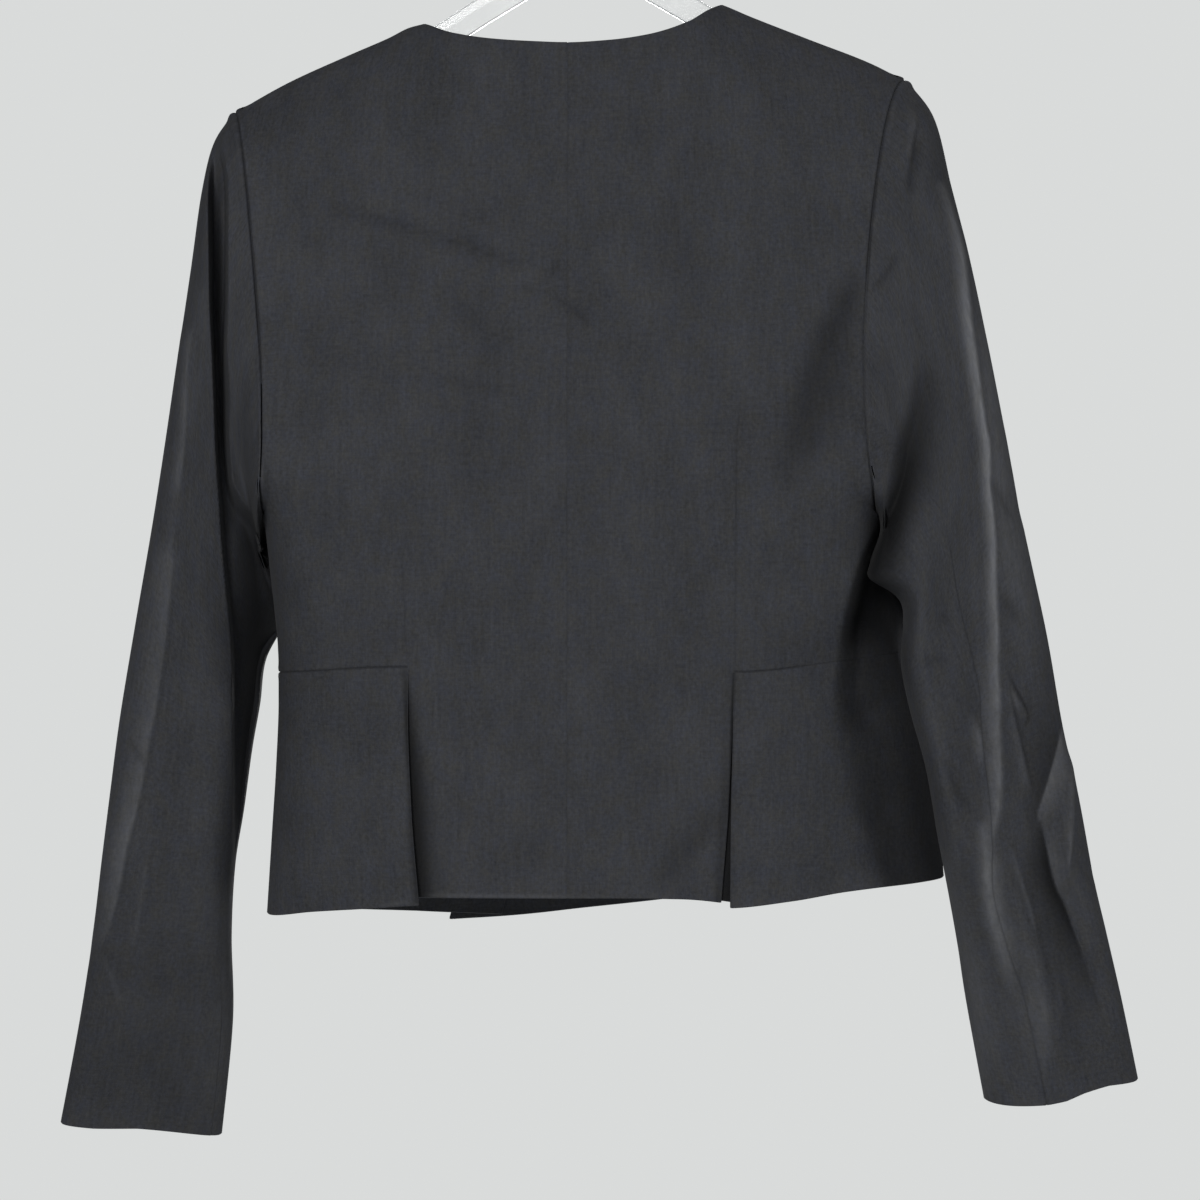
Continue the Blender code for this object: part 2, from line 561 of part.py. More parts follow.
def hanger(mat, parent):
    """Flat clear hanger: its upper edge follows the shoulders, a plate wide below."""
    top = np.array(HANGER_TOP)
    centre = int(np.argmax(top[:, 1]))
    t = np.gradient(top, axis=0)
    t /= np.linalg.norm(t, axis=1)[:, None]
    low = top + np.stack([t[:, 1], -t[:, 0]], -1) * HANGER_ARM
    near = np.abs(top[:, 0] - top[centre, 0]) < 40
    low = low[~near | (np.arange(len(top)) == centre)]
    ends = [top[0] + (low[0] - top[0]) * 0.5 - t[0] * HANGER_ARM * 0.35,
            top[-1] + (low[-1] - top[-1]) * 0.5 + t[-1] * HANGER_ARM * 0.35]
    loop = [ends[0], *top, ends[1], *low[::-1]]
    curve = bpy.data.curves.new("hanger_outline", "CURVE")
    curve.dimensions = "2D"
    curve.fill_mode = "BOTH"
    curve.extrude = HANGER_T / 2 * MM
    s = curve.splines.new("POLY")
    s.points.add(len(loop) - 1)
    for p, (x, z) in zip(s.points, loop):
        p.co = (x * MM, z * MM, 0.0, 1.0)
    s.use_cyclic_u = True
    obj = bpy.data.objects.new("hanger_body", curve)
    PARTS.objects.link(obj)
    obj.parent = parent
    obj.rotation_euler = (math.radians(90), 0, 0)
    curve.materials.append(mat)
    return obj


def hook(mat, parent):
    """Round wire hook whose inside rests on a rail at the origin."""
    r, (fx, fz), (nx, nz) = HOOK["r"], HOOK["foot"], HOOK["neck"]
    cz = WIRE / 2 - r
    line = [(fx, fz), ((fx + nx) / 2, (fz + nz) / 2), (nx, nz)]
    for a in np.arange(-78.0, HOOK["end"] + 1, 11.0):
        line.append((r * math.cos(math.radians(a)), cz + r * math.sin(math.radians(a))))
    curve = bpy.data.curves.new("hook_wire", "CURVE")
    curve.dimensions = "3D"
    curve.bevel_depth = WIRE / 2 * MM
    curve.bevel_resolution = 3
    curve.use_fill_caps = True
    s = curve.splines.new("POLY")
    s.points.add(len(line) - 1)
    for p, (x, z) in zip(s.points, line):
        p.co = (x * MM, 0.0, z * MM, 1.0)
    obj = bpy.data.objects.new("hanger_hook", curve)
    PARTS.objects.link(obj)
    obj.parent = parent
    curve.materials.append(mat)
    return obj


def main():
    root = bpy.data.objects.new("suit_jacket", None)
    PARTS.objects.link(root)
    cloth = material("charcoal_suiting", (0.040, 0.042, 0.047), 0.85)
    resin = material("dark_button", (0.02, 0.02, 0.022), 0.35)
    clear = material("clear_plastic", (0.86, 0.88, 0.9), 0.08, alpha=0.35)
    steel = material("hook_steel", (0.72, 0.73, 0.75), 0.2, metal=1.0)

    made = {}
    for side, word in ((-1, "left"), (1, "right")):
        made["back_" + word] = back_half(side)
        made["front_" + word] = front_half(side)
        made["peplum_" + word] = peplum(side)
        hind, fore = PHI_BACK.index(HIND_SEAM), PHI_FRONT.index(FORE_SEAM)
        made["sleeve_top_" + word] = sleeve_piece(side, PHI_FRONT[fore:] + PHI_BACK[1:hind + 1])
        made["sleeve_under_" + word] = sleeve_piece(side, PHI_BACK[hind:] + PHI_FRONT[1:fore + 1])
        made["vent_underlay_" + word] = underlay(side)
    sheets = {}
    for name, (grid, keep) in made.items():
        side = -1 if name.endswith("left") else 1
        if name.startswith("sleeve"):
            k = np.linspace(0, 1, grid.shape[0])[:, None]
            mid = np.stack([(grid[..., 0].mean(1)), (grid[..., 1].mean(1)), (grid[..., 2].mean(1))], -1)[:, None]
            core = np.array([(SLEEVE[side][-1][0] + SLEEVE[side][-1][2]) / 2, 0, 0])
            top = np.array([(SLEEVE[side][4][0] + SLEEVE[side][4][2]) / 2, 0, 0])
            mid = mid.copy()
            mid[..., 0] = (top[0] + (core[0] - top[0]) * k)
            mid[..., 1] = 0
            outward = (grid - mid) * np.array([1, 1, 0])
        else:
            outward = (grid - np.array([CENTRE_X, 0, 0])) * np.array([0.4, 1, 0])
        sheets[name] = dict(grid=grid, keep=keep, own=own_normals(grid, keep, outward))
    total, users = seam_data(sheets)
    for name in sheets:
        outer, inner = wall(sheets, name, total, users)
        mesh_panel(name, outer, inner, sheets[name]["keep"], cloth, root)
    for i, z in enumerate((-234.0, -320.0, -406.0, -492.0)):
        button(f"button_{i + 1}", float(smooth(CENTRE_FRONT, z)), z, resin, root)
    hanger(clear, root)
    hook(steel, root)


for old in list(bpy.data.objects):
    bpy.data.objects.remove(old)
PARTS = bpy.data.collections.new("suit_jacket")
bpy.context.scene.collection.children.link(PARTS)
main()
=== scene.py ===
"""Looks of the collarless suit jacket on its flat clear hanger.

Every cloth panel is a thin shell on the form of its CAD solid, with its seams,
darts, hems and main creases in the mesh. Sizes are in millimetres unless a
comment says otherwise, and become metres when a mesh is made.
"""

import math

import bmesh
import bpy
import numpy as np
from mathutils import Matrix, Vector


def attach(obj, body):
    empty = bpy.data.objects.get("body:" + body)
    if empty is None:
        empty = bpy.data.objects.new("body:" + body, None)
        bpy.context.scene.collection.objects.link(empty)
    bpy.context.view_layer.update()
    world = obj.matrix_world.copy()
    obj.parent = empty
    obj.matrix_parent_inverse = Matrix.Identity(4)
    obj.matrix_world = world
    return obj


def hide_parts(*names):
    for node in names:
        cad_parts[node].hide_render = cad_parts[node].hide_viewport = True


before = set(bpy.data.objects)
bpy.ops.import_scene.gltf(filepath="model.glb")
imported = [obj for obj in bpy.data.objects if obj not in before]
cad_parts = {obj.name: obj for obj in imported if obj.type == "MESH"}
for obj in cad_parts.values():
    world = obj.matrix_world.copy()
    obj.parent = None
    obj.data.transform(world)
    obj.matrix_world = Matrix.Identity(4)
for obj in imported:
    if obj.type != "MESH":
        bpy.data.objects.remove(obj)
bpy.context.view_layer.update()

MM = 0.001
CLOTH = 1.3
CENTRE_X = -4.6
UNDERARM_Z = -418.0
OVERLAP = 15.5
OVERLAP_LIFT = 2.6
FRONT_NECK_DROP = 95.0
HIND_SEAM, FORE_SEAM = 124.0, 250.0

# The camera stands 2 m behind the hanger's plane and looks along +Y. A picture
# point is 0.6 mm in that plane, and the picture is 1200 points square.
EYE = np.array([14.4, -2000.0, -468.0])
POINT = 0.6

ROOF = (  # x, z of the shoulder line, carried across the neck
    (-204.6, -175.2), (-171.6, -157.2), (-135.6, -141.0), (-111.6, -130.6),
    (-99.6, -124.6), (-91.2, -122.4), (-45.0, -104.0), (-4.6, -97.0),
    (45.0, -99.0), (87.6, -111.0), (104.4, -118.0), (140.4, -132.0),
    (176.4, -145.8), (197.4, -156.0),
)
NECK = {-1: -91.2, 1: 87.6}
TIP = {-1: (-204.6, -175.2), 1: (197.4, -156.0)}
NECK_BACK = (
    (-91.2, -122.4), (-74.8, -130.9), (-50.6, -136.4), (-26.8, -138.6),
    (-5.0, -139.6), (20.3, -138.0), (43.9, -134.1), (67.9, -124.9),
    (80.1, -115.8), (87.6, -111.0),
)
ARMHOLE = {
    -1: dict(under=-186.0, bow_back=9.0, bow_front=18.0, back=52.0, front=50.0),
    1: dict(under=180.6, bow_back=19.0, bow_front=24.0, back=52.0, front=50.0),
}
BODY = (  # z, left side x, right side x, back depth, front depth
    (-97.0, -204.6, 197.4, 44.0, 42.0),
    (-160.0, -204.6, 197.4, 48.0, 46.0),
    (-230.0, -200.0, 195.0, 57.0, 59.0),
    (-320.0, -192.0, 188.0, 67.0, 70.0),
    (-418.0, -186.0, 180.6, 73.0, 76.0),
    (-445.0, -183.6, 182.8, 72.5, 75.0),
    (-474.0, -180.4, 192.6, 71.0, 73.0),
    (-504.0, -178.2, 197.0, 70.0, 72.0),
    (-530.0, -178.2, 202.4, 71.0, 73.0),
    (-566.0, -179.6, 211.0, 73.0, 76.0),
    (-605.0, -182.0, 217.8, 76.0, 79.0),
    (-660.0, -185.4, 222.6, 80.0, 84.0),
)
ROUND, FULLER = 4.0, 6.0
SHOULDER_ROLL = 35.0
CENTRE_FRONT = (
    (-212.0, -2.0), (-330.0, -8.0), (-430.0, -14.0), (-515.0, -25.0),
    (-590.0, -43.0), (-668.0, -64.0),
)
WAIST = {  # round the body: 0 centre back, 1 side, 2 centre front
    -1: ((0.0, -508.0), (0.53, -506.7), (1.0, -511.0), (1.5, -515.0), (2.0, -518.0)),
    1: ((0.0, -508.0), (0.5, -509.6), (0.8, -503.5), (1.0, -499.5), (1.5, -508.0), (2.0, -517.0)),
}
HEM = {
    -1: ((0.0, -639.6), (0.5, -642.9), (0.72, -646.4), (0.85, -649.2), (1.0, -654.6), (1.5, -661.2), (2.0, -663.8)),
    1: ((0.0, -639.6), (0.47, -645.0), (0.62, -641.4), (0.75, -636.6), (0.88, -634.0), (1.0, -632.8), (1.4, -646.0), (1.62, -655.0), (1.75, -659.6), (1.89, -664.8), (2.0, -667.0)),
}
CENTRE_HEM = {  # the same for the panel between the vents
    -1: ((0.0, -639.6), (0.3, -639.4), (0.5, -639.2)),
    1: ((0.0, -639.6), (0.15, -639.5), (0.3, -640.0), (0.5, -645.0)),
}
VENT = {  # share from waist to hem, x of the peplum's edge, of the centre's edge, lift
    -1: ((0.0, -97.2, -97.2, 0.0), (0.2, -97.4, -96.4, 2.8), (0.6, -95.2, -97.0, 4.4), (1.0, -90.4, -97.6, 5.6)),
    1: ((0.0, 92.4, 92.4, 0.0), (0.2, 92.1, 91.0, 0.6), (0.6, 90.7, 88.2, 1.4), (1.0, 90.0, 83.9, 2.2)),
}
DART = {  # z, x of the dart's line, carried up to the neck point
    -1: ((-122.4, -91.2), (-250.0, -97.0), (-430.0, -100.4), (-470.0, -99.0), (-506.7, -97.2)),
    1: ((-111.0, 87.6), (-250.0, 96.0), (-338.0, 97.4), (-376.0, 93.6), (-440.0, 92.9), (-509.6, 92.4)),
}
UNDERLAY = dict(inside=13.0, outside=13.0, inset=2.6, top=7.0, short=1.2)

SLEEVE = {  # outer x, z   inner x, z   centre y   back, front half depth   tilt   lean of the inner edge
    -1: (
        (-204.6, -175.2, -186.0, -418.0, 0.0, 52.0, 50.0, 0.0, 0.0),
        (-217.2, -193.8, -187.8, -429.0, 0.0, 53.0, 51.0, 0.0, 5.0),
        (-223.8, -222.0, -188.4, -441.0, 0.0, 53.0, 52.0, 0.0, 20.0),
        (-229.8, -270.0, -184.4, -457.0, 0.0, 52.0, 52.0, 0.0, 38.0),
        (-239.7, -339.1, -178.4, -478.0, -2.0, 50.0, 50.0, 0.0, 46.0),
        (-250.7, -414.1, -189.2, -504.5, -5.0, 47.0, 47.0, 0.0, 34.0),
        (-261.7, -480.0, -191.0, -530.7, -8.0, 44.0, 44.0, 0.0, 20.0),
        (-271.4, -536.8, -194.8, -557.7, -7.0, 41.0, 41.0, 0.0, 10.0),
        (-278.0, -581.8, -199.5, -593.8, -3.0, 38.0, 38.0, 0.0, 4.0),
        (-284.2, -624.2, -204.9, -627.2, 3.0, 34.0, 34.0, 0.0, 0.0),
        (-290.1, -664.0, -207.8, -670.0, 10.0, 29.0, 29.0, 0.0, 0.0),
        (-299.5, -719.0, -207.6, -722.0, 16.0, 23.0, 23.0, 0.0, 0.0),
        (-312.2, -783.7, -214.7, -791.0, 20.0, 17.0, 17.0, -2.0, 0.0),
    ),
    1: (
        (197.4, -156.0, 180.6, -418.0, 0.0, 52.0, 50.0, 0.0, 0.0),
        (214.8, -178.8, 183.2, -426.0, 0.0, 53.0, 51.0, 0.0, -5.0),
        (225.6, -222.0, 183.0, -437.0, 0.0, 53.0, 50.0, 0.0, -26.0),
        (236.2, -273.2, 184.0, -452.0, -2.0, 52.0, 46.0, 0.0, -42.0),
        (249.4, -343.6, 191.6, -474.0, -7.0, 50.0, 42.0, 0.0, -46.0),
        (263.0, -414.4, 189.8, -503.8, -13.0, 47.0, 38.0, 0.0, -46.0),
        (278.4, -485.8, 194.2, -530.4, -18.0, 44.0, 34.0, 0.0, -44.0),
        (288.2, -542.2, 203.7, -566.0, -20.0, 41.0, 31.0, 0.0, -44.0),
        (298.6, -586.9, 211.0, -604.8, -18.0, 38.0, 31.0, 0.0, -40.0),
        (308.1, -632.2, 220.0, -641.1, -10.0, 35.0, 32.0, 0.0, -24.0),
        (317.2, -665.9, 228.2, -674.9, -1.0, 32.0, 32.0, 0.0, -8.0),
        (328.3, -709.0, 234.9, -709.0, 8.0, 29.0, 29.0, 2.0, 0.0),
        (339.0, -756.3, 246.5, -769.0, 15.0, 27.0, 27.0, 5.0, 0.0),
    ),
}
HIND_LINE = {  # section, degrees of the hind seam there: the cloth twists as it hangs
    -1: ((0.0, 124.0), (1.0, 124.0), (3.0, 128.0), (6.0, 142.0), (9.0, 150.0), (12.0, 154.0)),
    1: ((0.0, 124.0), (2.0, 116.0), (4.0, 103.0), (5.0, 98.4), (6.0, 96.6), (7.0, 104.8), (8.0, 109.2),
        (9.0, 118.6), (10.0, 114.6), (11.0, 107.0), (12.0, 105.0)),
}

SLEEVE_FULL, ARM_FULL = {-1: 3.6, 1: 4.0}, 8.0

HANGER_TOP = (
    (-190.0, -174.0), (-147.6, -152.4), (-111.6, -136.2), (-91.2, -128.6),
    (-62.4, -109.6), (-24.0, -84.4), (-9.0, -73.6), (4.0, -71.2), (17.0, -72.2), (32.0, -81.4),
    (70.0, -106.0), (87.6, -117.0), (104.4, -124.2), (140.4, -138.4), (183.0, -157.0),
)
HANGER_T, HANGER_ARM, WIRE = 6.0, 15.5, 3.6
HOOK = dict(foot=(4.0, -70.4), neck=(2.6, -50.0), r=19.8, end=205.0)
BUTTON_R, BUTTON_T = 10.0, 3.6
BUTTON_Z = (-234.0, -320.0, -406.0, -492.0)

# Deep fold down the left sleeve, in picture points: row, its left lip, depth in mm,
# run of the left wall, width of the floor, run of the right wall.
GROOVE = (
    (126, 215, 0.0, 8, 3, 4), (146, 216, 6.0, 9, 3, 4), (176, 215, 15.0, 8, 9, 3), (207, 214, 22.0, 7, 11, 3),
    (253, 214, 26.0, 6, 11, 3), (300, 213.5, 26.0, 4.5, 11, 3.5), (340, 214.5, 25.0, 3.5, 8, 4.5), (400, 216.5, 23.0, 2.6, 5, 9),
    (440, 218, 21.0, 2.6, 4, 8), (480, 220.5, 20.0, 2.6, 4, 9), (500, 222, 20.0, 2.6, 6, 16), (530, 224, 20.0, 2.6, 20, 26), (568, 227, 20.0, 2.6, 27, 30),
    (618, 232, 20.0, 2.6, 27, 36), (656, 234.5, 19.0, 2.6, 25, 36), (700, 235, 16.0, 2.6, 23, 36), (780, 235.5, 10.0, 2.6, 17, 30),
    (830, 236, 4.0, 4, 14, 26), (870, 237, 0.0, 5, 14, 26),
)

# Creases, each a row: points of its line in picture points, height in mm (out of the
# cloth, or in where negative), run on either side of the line in points (for a line
# drawn downwards, first the left side), and how its crest is shaped (1 round, 0 a
# sharp fold, -1 a fold with flat sides, or a pair for its two sides). A height, a run
# or a shape may be a list, spread evenly down the line.
BACK_CREASES = (
    (((300, 200), (332, 206), (384, 220), (430, 233), (468, 246), (500, 257), (540, 266)), (0, -0.9, -1.7, -1.2, -2.0, -1.6, 0), 5, 9, 0.4),
    (((347, 211), (362, 214), (379, 219)), -0.8, 3, 4, 0.4),
    (((330, 190), (420, 207), (520, 243)), 1.3, 13, 12, 1),
    (((561, 254), (555, 268), (547, 282)), -1.3, 3, 4, 0.4),
    (((512, 283), (530, 289), (548, 291)), -1.2, 5, 5, 0.8),
    (((544, 290), (562, 302), (580, 316), (600, 334)), -1.7, 4, 7, 0.5),
    (((500, 330), (545, 318), (600, 330)), 1.8, 20, 24, 1),
    (((452, 296), (478, 316), (514, 348)), -1.2, 10, 8, 0.9),
    (((425, 376), (470, 386), (520, 396)), -1.1, 6, 7, 0.9),
    (((858, 288), (832, 342), (813, 398), (801, 450), (786, 494)), -4.5, 18, 24, 1),
    (((800, 300), (780, 380), (750, 470)), 1.2, 30, 30, 1),
    (((285, 330), (300, 430), (330, 520)), -0.9, 18, 24, 1),
    (((300, 560), (360, 575), (420, 560)), -0.5, 12, 16, 1),
    (((700, 560), (760, 585), (830, 590)), -0.6, 12, 14, 1),
    (((655, 893), (690, 852), (728, 806)), -3.0, 9, 24, 0.8),
    (((600, 760), (636, 820), (648, 890)), 1.2, 26, 22, 1),
    (((300, 700), (318, 790), (322, 900)), 0.8, 22, 24, 1),
    (((352, 720), (372, 800), (380, 900)), -0.7, 18, 20, 1),
    (((800, 690), (815, 780), (820, 890)), 1.2, 22, 26, 1),
    (((862, 690), (880, 780), (892, 880)), -4.0, 26, 24, 1),
)
SLEEVE_CREASES = {
    -1: (
        (((193, 320), (187, 380), (184, 440), (178, 500), (170, 560)), 1.3, 10, 6, 0.5),
        (((205, 420), (196, 520), (190, 620), (186, 700)), -0.9, 12, 12, 1),
        (((172, 560), (167, 620), (158, 690), (147, 750), (138, 800), (126, 850), (117, 897), (107, 932), (99, 955)), (0, 1.8, 1.6, 1.9, 1.6, 2.2, 1.8, 0), 16, 4, 0.3),
        (((118, 735), (136, 752), (152, 782)), -2.3, 6, 5, 0.3),
        (((146, 740), (132, 760), (120, 778)), 1.6, 5, 5, 0.5),
        (((146, 855), (142, 897), (132, 955), (128, 992)), 0.7, 5, 4, 0.3),
        (((185, 720), (180, 800), (174, 880)), -0.9, 14, 14, 1),
        (((100, 940), (104, 965), (115, 993), (123, 1018), (121, 1036)), (0, -1.8, -2.2, -1.6, 0), 10, 4, 0.2),
        (((150, 900), (150, 980), (142, 1080)), 0.8, 14, 18, 1),
        (((200, 900), (196, 990), (188, 1100)), -0.8, 12, 14, 1),
        (((236, 515), (233, 540), (234, 580), (240, 610)), 2.0, 6, 9, 1),
    ),
    1: (
        # the pressed ridge down the outer side
        (((942, 178), (950, 213), (958, 248), (962, 280), (967, 328), (972, 361), (977, 397), (981, 424), (985, 445),
          (986, 472), (988, 499), (990, 522), (992, 552), (992, 589), (994, 640), (993, 667), (994, 722), (997, 770),
          (997, 809), (992, 842)), (0, 2.4, 3.2, 3.8, 4.0, 4.0, 3.8, 4.2, 4.4, 3.6, 0), (8, 10, 11, 12, 13, 13, 14, 15), 34, 0.0),
        # at the sleeve head
        (((916, 96), (913, 136), (908, 170)), 1.0, 6, 4, 0.6),
        (((921, 118), (918, 142), (913, 173), (909, 204)), -3.2, 5, 8, 0.7),
        (((905, 242), (889, 269), (875, 286), (866, 297)), -1.7, 4, 6, 0.4),
        # facets by the elbow
        (((984, 470), (1003, 502), (1021, 532)), -2.4, 8, 12, 0.3),
        (((981, 512), (987, 524), (994, 536)), 0.8, 3, 3, 0.3),
        (((994, 590), (1008, 604), (1024, 629)), -2.4, 7, 8, 0.6),
        (((914, 668), (936, 662), (955, 668)), -1.4, 7, 7, 1),
        (((938, 612), (946, 618), (953, 626)), -1.1, 8, 8, 1),
        (((946, 752), (956, 786), (969, 806), (981, 818)), -1.9, 7, 7, 0.8),
        (((962, 690), (975, 712), (982, 742)), -1.2, 8, 6, 0.8),
        # the overlapping folds below the elbow
        (((1001, 668), (1014, 692), (1023, 708), (1025, 718), (1019, 732)), (0, 2.2, 3.0, 2.6, 0), 16, 1.6, (0.1, 0.6)),
        (((1001, 676), (1009, 709), (1017, 738), (1024, 767), (1034, 803)), 1.8, 9, 2.4, 0.1),
        (((1068, 745), (1070, 800), (1068, 850), (1063, 882)), 2.2, 9, 6, 0.3),
        (((1009, 842), (1019, 877), (1029, 907), (1037, 939), (1045, 970), (1051, 998), (1052, 1037), (1046, 1072)), (0.6, 1.8, 2.2, 2.8, 3.0, 2.6, 1.6, 0), (9, 10, 14, 18, 18, 14), 5, 0.2),
        (((982, 828), (985, 870), (990, 905), (1003, 954), (1014, 994)), 2.2, 13, 12, 0.9),
        (((1073, 850), (1084, 866), (1094, 886)), -2.2, 5, 4, 0.3),
        (((960, 900), (975, 960), (985, 1040)), -1.0, 12, 12, 1),
    ),
}
# The same kinds of crease on the sides that face away, in the same picture points.
FRONT_CREASES = (
    (((862, 290), (836, 360), (776, 440)), -2.4, 18, 22, 1),
    (((262, 300), (298, 366), (352, 446)), -2.0, 18, 20, 1),
    (((560, 328), (500, 346), (430, 348)), -0.8, 9, 12, 1),
    (((578, 468), (520, 484), (440, 478)), -0.9, 9, 12, 1),
    (((592, 476), (650, 498), (724, 488)), -1.0, 10, 12, 1),
    (((600, 616), (680, 636), (760, 640)), -0.7, 9, 12, 1),
    (((430, 520), (424, 590), (414, 655)), 1.1, 22, 22, 1),
    (((720, 520), (731, 590), (744, 650)), 1.2, 22, 22, 1),
    (((330, 690), (322, 780), (318, 890)), -1.6, 20, 20, 1),
    (((424, 690), (428, 790), (434, 890)), 1.4, 22, 20, 1),
    (((760, 690), (772, 780), (780, 880)), -1.8, 20, 22, 1),
    (((650, 700), (660, 800), (668, 900)), 1.2, 24, 24, 1),
    (((846, 690), (860, 780), (872, 860)), 1.6, 18, 20, 1),
)
SLEEVE_FRONT_CREASES = {
    -1: (
        (((240, 470), (214, 516), (186, 536)), -2.6, 8, 11, 0.6),
        (((238, 556), (206, 598), (176, 612)), -2.4, 8, 12, 0.6),
        (((230, 640), (200, 668), (166, 686)), -1.8, 8, 10, 0.7),
        (((222, 520), (212, 600), (206, 690), (200, 780)), 1.4, 12, 12, 1),
        (((204, 250), (190, 360), (176, 470)), 1.3, 12, 12, 1),
        (((152, 740), (142, 850), (128, 980)), -1.4, 12, 12, 1),
        (((196, 820), (186, 930), (176, 1060)), 1.0, 14, 14, 1),
    ),
    1: (
        (((900, 560), (940, 588), (978, 596)), -2.8, 9, 12, 0.6),
        (((908, 636), (950, 660), (992, 666)), -2.4, 8, 12, 0.6),
        (((926, 716), (965, 742), (1012, 748)), -2.0, 8, 10, 0.7),
        (((930, 560), (946, 640), (962, 730), (980, 820)), 1.5, 12, 12, 1),
        (((972, 300), (988, 420), (1006, 530)), 1.3, 12, 12, 1),
        (((1036, 790), (1058, 900), (1078, 1010)), -1.6, 12, 12, 1),
        (((992, 850), (1012, 950), (1026, 1060)), 1.1, 14, 14, 1),
    ),
}
# Folds that go straight in from the back, as creases.
DEEP = {
    -1: (),
    1: (
        (((924, 346), (921, 395), (917, 420), (909, 449), (904, 477), (897, 502), (889, 524), (885, 545), (883, 574)),
         (0, 3.0, 6.0, 9.5, 12.0, 13.0, 12.5, 11.0, 8.0), (6, 8, 9, 10, 11, 11, 10, 9), (30, 44, 50, 46, 40, 32, 24, 18, 13), (1, (-1, -1, -0.6, -0.3, 0.2, 1))),
        (((1064, 712), (1056, 746), (1047, 780), (1037, 812), (1044, 837), (1054, 879), (1066, 907), (1078, 939), (1098, 988), (1118, 1022)),
         (10.0, 9.0, 7.0, 7.0, 9.5, 10.5, 10.0, 8.4, 4.6, 0), (46, 38, 24, 11, 14, 17, 17, 17, 13, 10), (20, 22, 24, 26, 22, 15, 18, 22, 22, 18),
         ((-1, -1, -1, -0.7, 0, 0, 0, 0, 0, 0), -1)),
    ),
}
# Cloth pushed together under the arms: centre and reach in picture points, move in mm,
# and the depths between which the push takes hold.
PUSHES = {
    -1: (((262, 552), (18, 34), (8.5, 10.0, 0.0), (-6.0, 6.0)),),
    1: (((883, 562), (18, 24), (-9.0, -8.0, 0.0), (-8.0, -26.0)), ((888, 580), (20, 13), (-9.0, -4.0, 0.0), (-8.0, -26.0))),
}
# Hollow beside the right sleeve, which runs on down the skirt: row, column of its edge,
# run of its wall in points, depth in mm, and the share of painted shade on its cloth.
HOLLOW = (
    (524, 878, 8, 0.0, 0.0), (540, 870.5, 8, 20.0, 0.4), (560, 862, 8, 34.0, 0.75), (591, 852, 8, 36.0, 0.85), (614, 846, 9, 34.0, 0.85),
    (636, 841, 13, 27.0, 0.75), (660, 837, 22, 19.0, 0.5), (690, 833, 24, 15.0, 0.44), (720, 835, 36, 12.0, 0.42), (750, 836, 62, 11.0, 0.46),
    (780, 841, 58, 11.0, 0.54), (810, 847, 46, 10.0, 0.54), (840, 866, 36, 9.0, 0.54), (870, 875, 22, 8.0, 0.52), (910, 880, 22, 6.0, 0.5),
)
